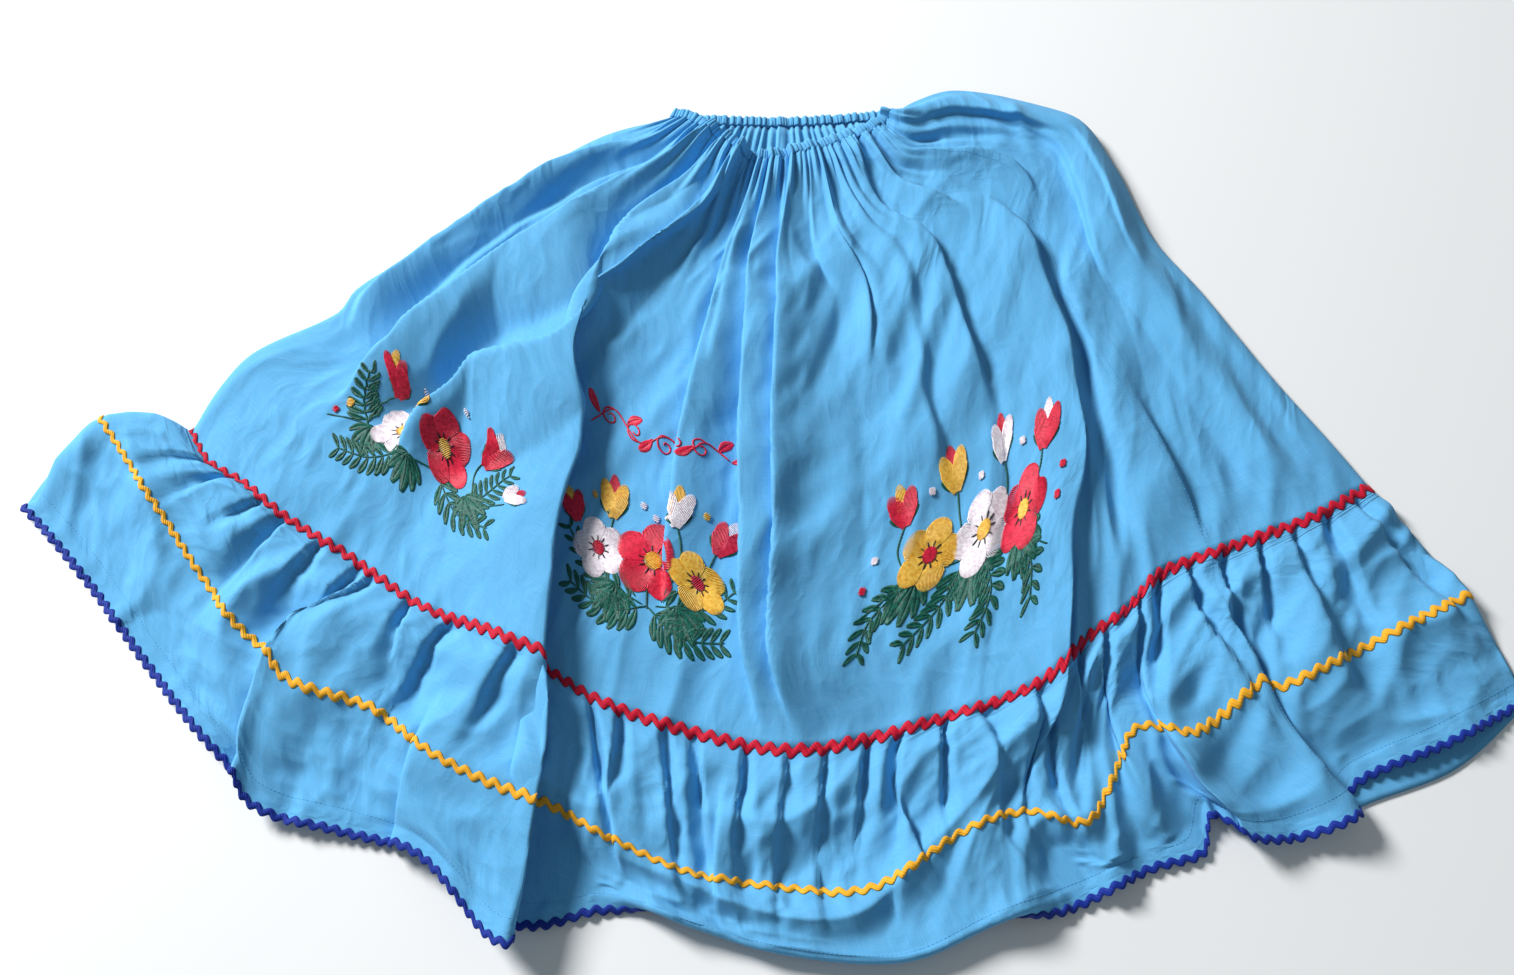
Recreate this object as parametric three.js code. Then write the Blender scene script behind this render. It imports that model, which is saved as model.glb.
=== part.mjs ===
import * as THREE from 'three';

// A circle skirt laid flat, front face up: a flared body tier, a gathered ruffle tier, an elastic
// casing at the waist, and wavy braid on the seam, along the ruffle and at the hem.
// Sizes are millimetres. x runs right, y from hem to waist and z up from the surface underneath.
// The outlines are measured from the middle of the back waist, and "down" counts the way from the
// waist: 0 at the casing's stitch line, 1 at the tier seam and 2 where the hem starts to turn.
// "across" runs from 0 at the left side fold to 1 at the right one.

// Driving dimensions.
const clothWall = 1.6;
const seamGap = 0.3;
const bodyDepth = 520;
const ruffleDepth = 195;
const casingDepth = 9;
const casingWall = 2;
const frontGathers = 40;
const backGathers = 30;
const gatherHeight = 2.2;
const columnsPerGather = 3;
const backColumnsPerGather = 2;
const sideFoldRadius = 34;
const pleatCount = 36;
const pleatHeight = 6;
const braidWidth = 8;
const braidHeight = 1.2;
const braidLift = 0.65;

const cottonColour = 0x5fb2e4;
const redBraidColour = 0xc8102e;
const yellowBraidColour = 0xf4b731;
const blueBraidColour = 0x1b3fa6;

// Outlines as laid out, from left to right or from waist to seam.
const frontWaist = [
  { x: -98, y: -7 }, { x: -76, y: -17 }, { x: -58, y: -38 }, { x: -36, y: -56 }, { x: -12, y: -63 },
  { x: 14, y: -57 }, { x: 44, y: -46 }, { x: 74, y: -33 }, { x: 94, y: -18 }, { x: 102, y: -2 },
];
const backWaist = [
  { x: -98, y: -7 }, { x: -60, y: -9 }, { x: -10, y: -11 }, { x: 45, y: -9 }, { x: 102, y: -2 },
];
const leftSide = [
  { x: -98, y: -7 }, { x: -162, y: -25 }, { x: -246, y: -91 }, { x: -314, y: -151 }, { x: -358, y: -187 },
  { x: -371, y: -211 }, { x: -434, y: -249 }, { x: -456, y: -282 }, { x: -471, y: -323 },
];
const rightSide = [
  { x: 102, y: -2 }, { x: 126, y: 16 }, { x: 158, y: 30 }, { x: 195, y: 26 }, { x: 246, y: 8 },
  { x: 283, y: -20 }, { x: 301, y: -62 }, { x: 322, y: -136 }, { x: 353, y: -187 }, { x: 400, y: -273 },
  { x: 436, y: -332 }, { x: 459, y: -372 },
];

// Radial sections of the ruffle: where each leaves the tier seam, where the yellow braid crosses it
// and where it ends at the hem, and how far the back hem lies inside (or, below 0, outside) it.
const ruffleSections = [
  { seam: [-471, -323], middle: [-540, -316], hem: [-592, -390], backInset: 3 },
  { seam: [-450, -353], middle: [-508, -356], hem: [-556, -424], backInset: 6 },
  { seam: [-420, -371], middle: [-474, -400], hem: [-512, -470], backInset: 8 },
  { seam: [-385, -398], middle: [-433, -453], hem: [-472, -515], backInset: 8 },
  { seam: [-352, -418], middle: [-398, -492], hem: [-422, -566], backInset: 8 },
  { seam: [-331, -430], middle: [-370, -512], hem: [-380, -606], backInset: 10 },
  { seam: [-308, -446], middle: [-345, -535], hem: [-360, -626], backInset: 10 },
  { seam: [-268, -473], middle: [-292, -552], hem: [-310, -638], backInset: 8 },
  { seam: [-228, -490], middle: [-244, -586], hem: [-252, -654], backInset: 8 },
  { seam: [-191, -507], middle: [-200, -606], hem: [-208, -692], backInset: 14 },
  { seam: [-168, -524], middle: [-163, -618], hem: [-168, -700], backInset: 20 },
  { seam: [-132, -544], middle: [-122, -640], hem: [-122, -690], backInset: 20 },
  { seam: [-75, -563], middle: [-70, -662], hem: [-61, -709], backInset: 20 },
  { seam: [4, -580], middle: [-4, -672], hem: [2, -726], backInset: 20 },
  { seam: [60, -571], middle: [57, -673], hem: [78, -730], backInset: 20 },
  { seam: [120, -555], middle: [120, -637], hem: [140, -707], backInset: 20 },
  { seam: [165, -541], middle: [165, -622], hem: [200, -686], backInset: 10 },
  { seam: [199, -518], middle: [205, -630], hem: [250, -663], backInset: 10 },
  { seam: [225, -495], middle: [228, -600], hem: [288, -652], backInset: 10 },
  { seam: [255, -475], middle: [250, -564], hem: [297, -627], backInset: 10 },
  { seam: [283, -446], middle: [291, -567], hem: [330, -645], backInset: 10 },
  { seam: [330, -428], middle: [338, -535], hem: [385, -632], backInset: 4 },
  { seam: [365, -415], middle: [362, -533], hem: [404, -604], backInset: -12 },
  { seam: [407, -400], middle: [430, -501], hem: [470, -578], backInset: -14 },
  { seam: [459, -372], middle: [511, -463], hem: [540, -545], backInset: 2 },
];

// The two deep folds where cloth overlaps: where across their edges show on the way down.
const overlapPaths = {
  down: [-0.1, 0, 0.2, 0.36, 0.5, 0.62, 0.75, 0.88, 1, 1.2, 1.5, 3.1],
  left: [0.365, 0.365, 0.31, 0.26, 0.268, 0.298, 0.312, 0.33, 0.338, 0.345, 0.345, 0.343],
  right: [0.76, 0.76, 0.825, 0.86, 0.856, 0.845, 0.81, 0.758, 0.718, 0.7, 0.69, 0.69],
};

// Main folds of the front layer: name, the downs where each starts and ends, where its crest shows
// across at even steps between them, half its width, its height and its lean. A crest leans towards
// +x by its lean, which makes a deep fold overhang, and a trough has a height below 0.
const folds = [
  ['left side trough', 0.04, 0.74, [0.12, 0.07, 0.06, 0.07], 20, -3, 0],
  ['left upper ridge', -0.1, 0.78, [0.16, 0.12, 0.085, 0.075], 17, 11, -5],
  ['left second ridge', -0.1, 0.78, [0.25, 0.2, 0.17, 0.15], 20, 9, -5],
  ['left shoulder', -0.1, 0.36, [0.38, 0.335, 0.285, 0.25], 20, 13, 0],
  ['left overlap', 0.26, 3.4, 'left', 28, 23, 38],
  ['inner left ridge', -0.1, 0.8, [0.39, 0.39, 0.4, 0.415], 13, 9, -4],
  ['centre left ridge', -0.1, 0.95, [0.44, 0.445, 0.47, 0.49], 13, 8, -4],
  ['centre ridge', -0.1, 0.95, [0.53, 0.5, 0.51, 0.515], 13, 8, -4],
  ['centre trough', 0.18, 0.9, [0.61, 0.565, 0.55, 0.54], 36, -4, 0],
  ['centre right ridge', -0.1, 0.85, [0.73, 0.68, 0.67, 0.655], 17, 10, 4],
  ['right tip ridge', -0.1, 0.85, [0.81, 0.73, 0.745, 0.73], 17, 10, 4],
  ['right overlap', 0.22, 1.62, 'right', 27, 22, 34],
  ['right shoulder', 0.12, 0.5, [0.97, 0.94, 0.89], 18, 9, -3],
  ['right long ridge', 0.2, 1.05, [0.975, 0.96, 0.945, 0.94], 26, 6, 0],
  ['right crease', 0.5, 0.98, [0.9, 0.865, 0.83, 0.81], 15, -3, 0],
  ['left flap', 1.02, 3.4, [0.175, 0.163, 0.163, 0.17], 18, 12, -10],
  ['small left step', 1.25, 3.4, [0.27, 0.268, 0.27], 17, 6, -8],
  ['twisted ridge', 1.05, 1.8, [0.748, 0.766, 0.76, 0.745], 18, 10, -6],
  ['notch flap', 1.1, 3.4, [0.79, 0.803, 0.8, 0.79], 20, 10, -6],
  ['right step', 1.1, 3.4, [0.868, 0.874, 0.882, 0.89], 20, 9, 7],
].map(([name, from, to, across, half, height, lean]) => ({ name, from, to, across, half, height, lean }));

// Heights of the front layer: along the side folds, the crown between them, and how far down.
const sideHeight = { down: [-0.1, 0, 0.05, 0.14, 2, 3.1], mm: [8.2, 8.2, 6.5, 3.2, 3.2, 3.2] };
const crownHeight = { down: [-0.1, 0, 0.2, 0.5, 1, 1.5, 2, 3.1], mm: [5.5, 5.5, 8, 8, 6.5, 4, 0.8, 0.8] };
const spanWidth = { down: [0, 1, 1.5, 2], mm: [285, 1060, 1260, 1327] };

// How closely the plan's rows keep to the middle before they bow out to the side outlines.
const sideReach = { down: [-0.1, 0, 0.05, 0.14, 0.35, 3.1], power: [60, 60, 30, 10, 3, 3] };

// The stretch of the front hem that has rolled under, in parts across.
const hemRoll = { start: 0.37, full: 0.46, fullEnd: 0.6, end: 0.68, radius: 3.6, depth: 24 };
const flatHem = { turn: 4, flange: 2 };

const clamp = (value, low, high) => Math.min(Math.max(value, low), high);

const mix = (a, b, part) => a + (b - a) * part;

function smoothStep(low, high, value) {
  const part = clamp((value - low) / (high - low), 0, 1);
  return part * part * (3 - 2 * part);
}

// A smooth curve through numbers at rising knots.
function smoothCurve(knots, values) {
  const last = knots.length - 1;
  const slopes = knots.map((knot, i) => {
    const before = Math.max(i - 1, 0);
    const after = Math.min(i + 1, last);
    return (values[after] - values[before]) / (knots[after] - knots[before]);
  });
  return (place) => {
    const t = clamp(place, knots[0], knots[last]);
    let i = 0;
    while (i < last - 1 && t >= knots[i + 1]) i += 1;
    const step = knots[i + 1] - knots[i];
    const s = (t - knots[i]) / step;
    const bend = (1 - s) * step * slopes[i] - s * step * slopes[i + 1];
    const rise = values[i + 1] - values[i];
    return values[i] + rise * s + s * (1 - s) * (bend + rise * (2 * s - 1));
  };
}

// Knots from 0 to 1 at the points' distances along their line.
function chordKnots(points) {
  const along = [0];
  for (let i = 1; i < points.length; i += 1) {
    const step = Math.hypot(points[i].x - points[i - 1].x, points[i].y - points[i - 1].y);
    along.push(along[i - 1] + step);
  }
  return along.map((distance) => distance / along[along.length - 1]);
}

function outline(points, knots = chordKnots(points)) {
  const x = smoothCurve(knots, points.map((point) => point.x));
  const y = smoothCurve(knots, points.map((point) => point.y));
  return (place) => new THREE.Vector2(x(place), y(place));
}

const sectionPoints = (column) => ruffleSections.map((row) => ({ x: row[column][0], y: row[column][1] }));
const sectionKnots = chordKnots(sectionPoints('seam'));
const seamLine = outline(sectionPoints('seam'), sectionKnots);
const middleLine = outline(sectionPoints('middle'), sectionKnots);
const hemLine = outline(sectionPoints('hem'), sectionKnots);
const backInset = smoothCurve(sectionKnots, ruffleSections.map((row) => row.backInset));
const leftLine = outline(leftSide);
const rightLine = outline(rightSide);
const sideRise = smoothCurve(sideHeight.down, sideHeight.mm);
const crownRise = smoothCurve(crownHeight.down, crownHeight.mm);
const spanAt = smoothCurve(spanWidth.down, spanWidth.mm);
const sidePower = smoothCurve(sideReach.down, sideReach.power);

// Plan of the casing: square to the waist.
function casingPlan(waistLine, across, height) {
  const step = 0.01;
  const before = waistLine(Math.max(across - step, 0));
  const along = waistLine(Math.min(across + step, 1)).sub(before).normalize();
  return waistLine(across).add(new THREE.Vector2(-along.y, along.x).multiplyScalar(height));
}

// Plan of the body tier: straight from waist to seam, bowed near the sides to their outlines.
function bodyPlan(waistLine, across, down) {
  if (down < 0) return casingPlan(waistLine, across, -down * bodyDepth);
  const straight = (place) => waistLine(place).lerp(seamLine(place), down);
  const left = leftLine(down).sub(straight(0));
  const right = rightLine(down).sub(straight(1));
  const reach = sidePower(down);
  const point = straight(across);
  point.addScaledVector(left, (1 - across) ** reach);
  return point.addScaledVector(right, across ** reach);
}

// Plan of the ruffle: a parabola through seam, middle and hem of its section.
function rufflePlan(across, part, inset = 0) {
  const seam = seamLine(across);
  const hem = hemLine(across);
  const way = hem.clone().sub(seam).normalize();
  hem.addScaledVector(way, -inset);
  const point = seam.multiplyScalar((1 - part) * (1 - 2 * part));
  point.addScaledVector(middleLine(across), 4 * part * (1 - part));
  return point.addScaledVector(hem, part * (2 * part - 1));
}

const frontWaistLine = outline(frontWaist);
const backWaistLine = outline(backWaist);

function frontPlan(across, down) {
  if (down <= 1) return bodyPlan(frontWaistLine, across, down);
  const tail = flatHem.turn + flatHem.flange + braidWidth;
  return rufflePlan(across, down - 1, tail * smoothStep(1, 2, down));
}

// A round rise from 0 at the side folds to 1 a fold's radius further in.
function sideDome(across, down) {
  const inward = Math.min(across, 1 - across) * spanAt(down);
  const part = clamp(inward / sideFoldRadius, 0, 1);
  return Math.sqrt(1 - (1 - part) ** 2);
}

// Millimetres of cloth from the stitch line to a place down the front.
const depthOf = (down) => (down <= 1 ? down * bodyDepth : bodyDepth + (down - 1) * ruffleDepth);

function overlapPath(side) {
  const path = smoothCurve(overlapPaths.down.map(depthOf), overlapPaths[side]);
  return (down) => path(depthOf(down));
}

const followsOverlap = (fold) => typeof fold.across === 'string';

// Crest of a fold as seen from above.
const foldPaths = folds.map((fold) => {
  if (followsOverlap(fold)) return overlapPath(fold.across);
  const last = fold.across.length - 1;
  const knots = fold.across.map((_, i) => mix(fold.from, fold.to, i / last));
  return smoothCurve(knots, fold.across);
});

// Millimetres over which folds begin and end.
const foldFade = 65;
const overlapFade = 130;

// How much of a fold there is so far down.
function foldAmount(fold, down) {
  const fade = followsOverlap(fold) ? overlapFade : foldFade;
  const [depth, from, to] = [down, fold.from, fold.to].map(depthOf);
  return smoothStep(from, from + fade, depth) * (1 - smoothStep(to - fade, to, depth));
}

// Folds are narrower near the waist.
const foldSpread = (down) => mix(0.5, 1, smoothStep(0, 0.55, down));

// The part of its lean by which a fold starts before the edge that shows.
const leanBefore = 0.95;

// Sum of the folds at a place: a rise in z and a lean along the layer.
function foldShift(across, down) {
  const shift = { lean: 0, rise: 0 };
  const span = spanAt(down);
  const spread = foldSpread(down);
  folds.forEach((fold, i) => {
    const amount = foldAmount(fold, down);
    const lean = fold.lean * spread;
    const centre = foldPaths[i](down) - (lean * leanBefore) / span;
    const distance = ((across - centre) * span) / (fold.half * spread);
    if (Math.abs(distance) >= 1) return;
    const bump = Math.cos((distance * Math.PI) / 2) ** 2;
    shift.lean += lean * amount * smoothStep(-0.02, 0.2, down) * bump;
    shift.rise += fold.height * amount * mix(0.1, 1, spread) * bump;
  });
  return shift;
}

// Small gathers under the casing, which fade out on the way down. turn counts them.
const gatherEnd = 0.17;

function gatherRise(turn, down) {
  const strength = 1 - smoothStep(0, gatherEnd, down);
  return gatherHeight * 0.5 * strength * (1 + Math.cos(2 * Math.PI * turn));
}

// Pleats that leave the tier seam, each along one column of the front layer and uneven in length
// and height.
const frontColumns = frontGathers * columnsPerGather;
const pleatReach = 0.67;
const pleats = new Map(Array.from({ length: pleatCount }, (_, i) => {
  const column = Math.round(((i + 0.5) / pleatCount) * frontColumns);
  const reach = pleatReach + 0.2 * Math.sin(i * 1.7);
  const height = pleatHeight * (0.8 + 0.3 * Math.sin(i * 3.1));
  return [column, { reach, height }];
}));

function pleatRise(column, down) {
  const pleat = pleats.get(column);
  if (!pleat) return 0;
  return pleat.height * smoothStep(1, 1.12, down) * (1 - smoothStep(1.15, 1 + pleat.reach, down));
}

// Soft waves of the ruffle below its pleats, unevenly spaced and lower again at the hem.
const softWaves = { count: 13, sway: 0.4, swayRate: 17, half: 2.6, hemPart: 0.55 };

function ruffleWave(across, down) {
  const strength = smoothStep(1.2, 1.6, down) * mix(1, softWaves.hemPart, smoothStep(1.7, 2, down));
  const turn = across * softWaves.count + softWaves.sway * Math.sin(across * softWaves.swayRate);
  return softWaves.half * strength * (1 + Math.cos(2 * Math.PI * turn));
}

const rollPart = (across) => smoothStep(hemRoll.start, hemRoll.full, across)
  * (1 - smoothStep(hemRoll.fullEnd, hemRoll.end, across));
// The hem turns over first, to half a turn, and then rolls further in. A flat hem keeps a trace of
// the turn, which its arc is worked out from.
const leastTurn = 0.001;
const rollAngle = (across) => Math.PI * clamp(rollPart(across) / 0.8, leastTurn, 1);
const rollFlange = (across) => mix(flatHem.flange, hemRoll.depth, smoothStep(0.7, 1, rollPart(across)));

// Extra height where the rolled hem has the back layer under it.
const rollClearance = 2.4;

// How far the turned hem reaches under the cloth above it, with room for the braid.
function rollDrop(across) {
  const angle = rollAngle(across);
  const arcDrop = hemRoll.radius * (1 - Math.cos(angle));
  const flangeDrop = (rollFlange(across) + braidWidth) * Math.max(Math.sin(angle), 0);
  return arcDrop + flangeDrop + rollClearance * smoothStep(0.2, 0.6, rollPart(across));
}

// Height of the front cloth's middle above the surface underneath, without its folds.
function restHeight(across, down) {
  const rolled = rollDrop(across) * smoothStep(1.3, 1.95, down);
  return sideRise(down) + crownRise(down) * sideDome(across, down) + rolled;
}

// A point of the front layer down to where the hem starts to turn.
function spreadPoint(across, down) {
  const plan = frontPlan(across, down);
  const side = 0.002;
  const before = frontPlan(clamp(across - side, 0, 1), down);
  const along = frontPlan(clamp(across + side, 0, 1), down).sub(before).normalize();
  const shift = foldShift(across, down);
  plan.addScaledVector(along, shift.lean);
  const height = Math.max(restHeight(across, down) + shift.rise + ruffleWave(across, down), sideRise(down));
  return new THREE.Vector3(plan.x, plan.y, height);
}

// The hem's last stretch, flat or rolled under: it turns from part 0 to 0.5, then goes on straight to
// the braid at part 0.75 and under the braid to the edge.
function hemTailPoint(across, part) {
  const start = spreadPoint(across, 2);
  const way = hemLine(across).sub(seamLine(across)).normalize();
  const angle = rollAngle(across);
  const arc = Math.max(hemRoll.radius * angle, flatHem.turn);
  const turn = angle * Math.min(part * 2, 1);
  const radius = arc / angle;
  const flange = rollFlange(across) * clamp(part * 4 - 2, 0, 1) + braidWidth * Math.max(part * 4 - 3, 0);
  const out = radius * Math.sin(turn) + flange * Math.cos(turn);
  const drop = radius * (1 - Math.cos(turn)) + flange * Math.sin(turn);
  return new THREE.Vector3(start.x + way.x * out, start.y + way.y * out, start.z - drop);
}

const frontPoint = (across, down) => (
  down <= 2 ? spreadPoint(across, down) : hemTailPoint(across, down - 2)
);

// The front layer's columns run along the two overlaps, so that no facet crosses their edges.
// Between them and the sides the columns spread evenly.
const leftOverlap = overlapPath('left');
const rightOverlap = overlapPath('right');
const overlapCloth = 66;

function columnKnots(down) {
  const reach = (overlapCloth * foldSpread(down)) / spanAt(down);
  const left = leftOverlap(down);
  const right = rightOverlap(down);
  return [0, left - reach, left, right - reach, right, 1];
}

const seamKnots = columnKnots(1);

function acrossOf(place, down) {
  const knots = columnKnots(down);
  const i = Math.max(seamKnots.findIndex((knot) => place <= knot), 1);
  const part = (place - seamKnots[i - 1]) / (seamKnots[i] - seamKnots[i - 1]);
  return mix(knots[i - 1], knots[i], part);
}

// Columns start evenly at the waist and run along the overlaps from this place down.
const alignedFrom = 0.3;

// A point of one column of the front layer. place is where the column crosses the seam. The large
// folds have no pleats on them.
function columnPoint(place, down, column) {
  const across = mix(column / frontColumns, acrossOf(place, down), smoothStep(0, alignedFrom, down));
  const point = frontPoint(across, down);
  const smooth = 1 - smoothStep(2, 8, foldShift(across, down).rise);
  point.z += gatherRise(column / columnsPerGather, down) + smooth * pleatRise(column, down);
  return point;
}

// A grid of points on a layer, with the directions that face out of it. The two rows of a seam's
// gap share theirs, so that the edges there are parallel.
function sampleLayer(point, columns, rows) {
  const grid = rows.map((down) => columns.map((place, i) => point(place, down, i)));
  const lastRow = rows.length - 1;
  const lastColumn = columns.length - 1;
  const normals = grid.map((line, j) => line.map((_, i) => {
    const alongRow = line[Math.min(i + 1, lastColumn)].clone().sub(line[Math.max(i - 1, 0)]);
    const upRow = grid[Math.max(j - 1, 0)][i].clone().sub(grid[Math.min(j + 1, lastRow)][i]);
    return alongRow.cross(upRow).normalize();
  }));
  for (let j = 0; j < lastRow; j += 1) {
    if (rows[j + 1] - rows[j] > 2 * seamGap / ruffleDepth) continue;
    normals[j].forEach((normal, i) => normal.add(normals[j + 1][i]).normalize());
    normals[j + 1].forEach((normal, i) => normal.copy(normals[j][i]));
  }
  return { grid, normals, columns, rows };
}

// Some of a layer's rows, as a layer of its own.
const rowsOf = (layer, first, end) => ({
  grid: layer.grid.slice(first, end),
  normals: layer.normals.slice(first, end),
  columns: layer.columns,
  rows: layer.rows.slice(first, end),
});

const evenColumns = (count) => Array.from({ length: count + 1 }, (_, i) => i / count);

// Places across that are evenly spaced along the cloth of a line, folds and all.
function clothColumns(line, count) {
  const fine = evenColumns(count * 12);
  const along = [0];
  for (let i = 1; i < fine.length; i += 1) {
    along.push(along[i - 1] + line(fine[i]).distanceTo(line(fine[i - 1])));
  }
  const total = along[along.length - 1];
  return evenColumns(count).map((part) => {
    const after = Math.max(along.findIndex((length) => length >= part * total), 1);
    const step = (part * total - along[after - 1]) / (along[after] - along[after - 1]);
    return clamp(mix(fine[after - 1], fine[after], step), 0, 1);
  });
}

const outOfLayer = (layer, row, column, distance) => (
  layer.grid[row][column].clone().addScaledVector(layer.normals[row][column], distance)
);

const movedOut = (layer, distance) => layer.grid.map((line, row) => (
  line.map((_, column) => outOfLayer(layer, row, column, distance))
));

const loweredTo = (grid, height) => grid.map((line) => (
  line.map((point) => new THREE.Vector3(point.x, point.y, height))
));

function bodyFromFaces(vertices, faces) {
  const geometry = new THREE.BufferGeometry();
  const numbers = vertices.flatMap((vertex) => [vertex.x, vertex.y, vertex.z]);
  geometry.setAttribute('position', new THREE.Float32BufferAttribute(numbers, 3));
  geometry.setIndex(faces.flat());
  geometry.computeVertexNormals();
  return geometry;
}

// A closed body between an upper and a lower grid of the same size.
function closedSheet(upper, lower) {
  const rowCount = upper.length;
  const columnCount = upper[0].length;
  const vertices = [...upper.flat(), ...lower.flat()];
  const high = (j, i) => j * columnCount + i;
  const low = (j, i) => rowCount * columnCount + high(j, i);
  const faces = [];
  const quad = (a, b, c, d) => faces.push([a, b, c], [a, c, d]);
  for (let j = 0; j < rowCount - 1; j += 1) {
    for (let i = 0; i < columnCount - 1; i += 1) {
      quad(high(j + 1, i), high(j + 1, i + 1), high(j, i + 1), high(j, i));
      quad(low(j + 1, i), low(j, i), low(j, i + 1), low(j + 1, i + 1));
    }
    quad(low(j, 0), low(j + 1, 0), high(j + 1, 0), high(j, 0));
    const end = columnCount - 1;
    quad(high(j, end), high(j + 1, end), low(j + 1, end), low(j, end));
  }
  for (let i = 0; i < columnCount - 1; i += 1) {
    const end = rowCount - 1;
    quad(high(0, i), high(0, i + 1), low(0, i + 1), low(0, i));
    quad(high(end, i), low(end, i), low(end, i + 1), high(end, i + 1));
  }
  return bodyFromFaces(vertices, faces);
}

// A braid between two rows of the layer that it lies on. Its waves average to a straight band.
function braidOn(layer, downs) {
  const rows = downs.map((down) => layer.rows.indexOf(down));
  const strip = {
    grid: rows.map((row) => layer.grid[row]),
    normals: rows.map((row) => layer.normals[row]),
  };
  const under = clothWall / 2 + braidLift;
  return closedSheet(movedOut(strip, under + braidHeight), movedOut(strip, under));
}

// The front layer from casing to hem, sampled once and cut into its pieces.
const halfGap = seamGap / 2;
const halfBraid = braidWidth / 2;
const seamBraidDown = [1 - halfBraid / bodyDepth, 1 + halfBraid / ruffleDepth];
const middleBraidDown = [1.5 - halfBraid / ruffleDepth, 1.5 + halfBraid / ruffleDepth];
const hemBraidDown = [2.75, 3];
const frontRows = [
  -casingDepth / bodyDepth, -halfGap / bodyDepth,
  halfGap / bodyDepth, 0.04, 0.1, 0.19, 0.3, 0.38, 0.48, 0.62, 0.8, seamBraidDown[0], 1 - halfGap / bodyDepth,
  1 + halfGap / ruffleDepth, seamBraidDown[1], 1.16, 1.32, ...middleBraidDown, 1.78, 2, 2.5, ...hemBraidDown,
];
const casingRowCount = 2;
const bodyRowEnd = 13;
const seamCloth = (across) => frontPoint(across, 1);
const frontLayer = sampleLayer(columnPoint, clothColumns(seamCloth, frontColumns), frontRows);
const casingLayer = rowsOf(frontLayer, 0, casingRowCount);
const bodyLayer = rowsOf(frontLayer, casingRowCount, bodyRowEnd);
const ruffleLayer = rowsOf(frontLayer, bodyRowEnd, frontRows.length);

const wallOf = (layer, thickness) => (
  closedSheet(movedOut(layer, thickness / 2), movedOut(layer, -thickness / 2))
);

// Upper face of the back layer, which rests flat on the surface underneath.
function backPoint(across, down, column) {
  const plan = down <= 1 ? bodyPlan(backWaistLine, across, down)
    : rufflePlan(across, down - 1, backInset(across) * smoothStep(1, 2, down));
  const casing = down < 0 ? casingWall - clothWall : 0;
  const height = clothWall + casing + gatherRise(column / backColumnsPerGather, down);
  return new THREE.Vector3(plan.x, plan.y, height);
}

function restingSheet(rows) {
  const { grid } = sampleLayer(backPoint, evenColumns(backGathers * backColumnsPerGather), rows);
  return closedSheet(grid, loweredTo(grid, 0));
}

const backCasingRows = [-casingDepth / bodyDepth, -halfGap / bodyDepth];
const backBodyRows = [halfGap / bodyDepth, 0.04, 0.1, 0.19, 0.3, 0.48, 0.8, 1 - halfGap / bodyDepth];
const backRuffleRows = [1 + halfGap / ruffleDepth, 1.5, 2];

const cloth = (color) => new THREE.MeshStandardMaterial({ color, roughness: 0.85, metalness: 0 });
const cotton = cloth(cottonColour);

function piece(name, geometry, material) {
  const mesh = new THREE.Mesh(geometry, material);
  mesh.name = name;
  return mesh;
}

const skirt = new THREE.Group();
skirt.add(
  piece('front_casing', wallOf(casingLayer, casingWall), cotton),
  piece('back_casing', restingSheet(backCasingRows), cotton),
  piece('front_body', wallOf(bodyLayer, clothWall), cotton),
  piece('back_body', restingSheet(backBodyRows), cotton),
  piece('front_ruffle', wallOf(ruffleLayer, clothWall), cotton),
  piece('back_ruffle', restingSheet(backRuffleRows), cotton),
  piece('seam_braid_red', braidOn(frontLayer, seamBraidDown), cloth(redBraidColour)),
  piece('middle_braid_yellow', braidOn(frontLayer, middleBraidDown), cloth(yellowBraidColour)),
  piece('hem_braid_blue', braidOn(frontLayer, hemBraidDown), cloth(blueBraidColour)),
);

// The finished part stands on its middle.
const box = new THREE.Box3().setFromObject(skirt);
const centre = box.getCenter(new THREE.Vector3());
skirt.position.set(-centre.x, -centre.y, -box.min.z);

export default skirt;
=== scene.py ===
import math

import bpy
import numpy as np
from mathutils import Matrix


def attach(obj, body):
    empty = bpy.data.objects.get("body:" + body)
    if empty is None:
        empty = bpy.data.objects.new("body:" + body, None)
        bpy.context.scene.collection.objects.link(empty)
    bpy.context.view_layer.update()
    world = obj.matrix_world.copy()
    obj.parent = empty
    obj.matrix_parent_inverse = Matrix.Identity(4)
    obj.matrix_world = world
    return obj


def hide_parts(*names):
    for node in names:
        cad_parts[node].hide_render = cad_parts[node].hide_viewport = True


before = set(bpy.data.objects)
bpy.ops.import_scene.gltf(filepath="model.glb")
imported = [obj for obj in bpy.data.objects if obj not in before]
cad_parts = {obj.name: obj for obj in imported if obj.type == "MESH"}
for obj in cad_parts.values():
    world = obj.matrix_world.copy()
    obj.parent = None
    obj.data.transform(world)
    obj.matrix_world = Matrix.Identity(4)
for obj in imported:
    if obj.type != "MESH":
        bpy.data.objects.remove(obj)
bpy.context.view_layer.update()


# Camera
# It stands in front of the hem and looks steeply down at the skirt, which lies on a flat
# surface. Its focal length is in pixels of a picture as wide as the photo.
PHOTO_WIDTH = 1514
FOCAL_PIXELS = 1240
SENSOR_MM = 36
LOOK_DOWN = math.radians(65)
CAMERA_AT = (0.006, -0.437, 0.882)

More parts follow.
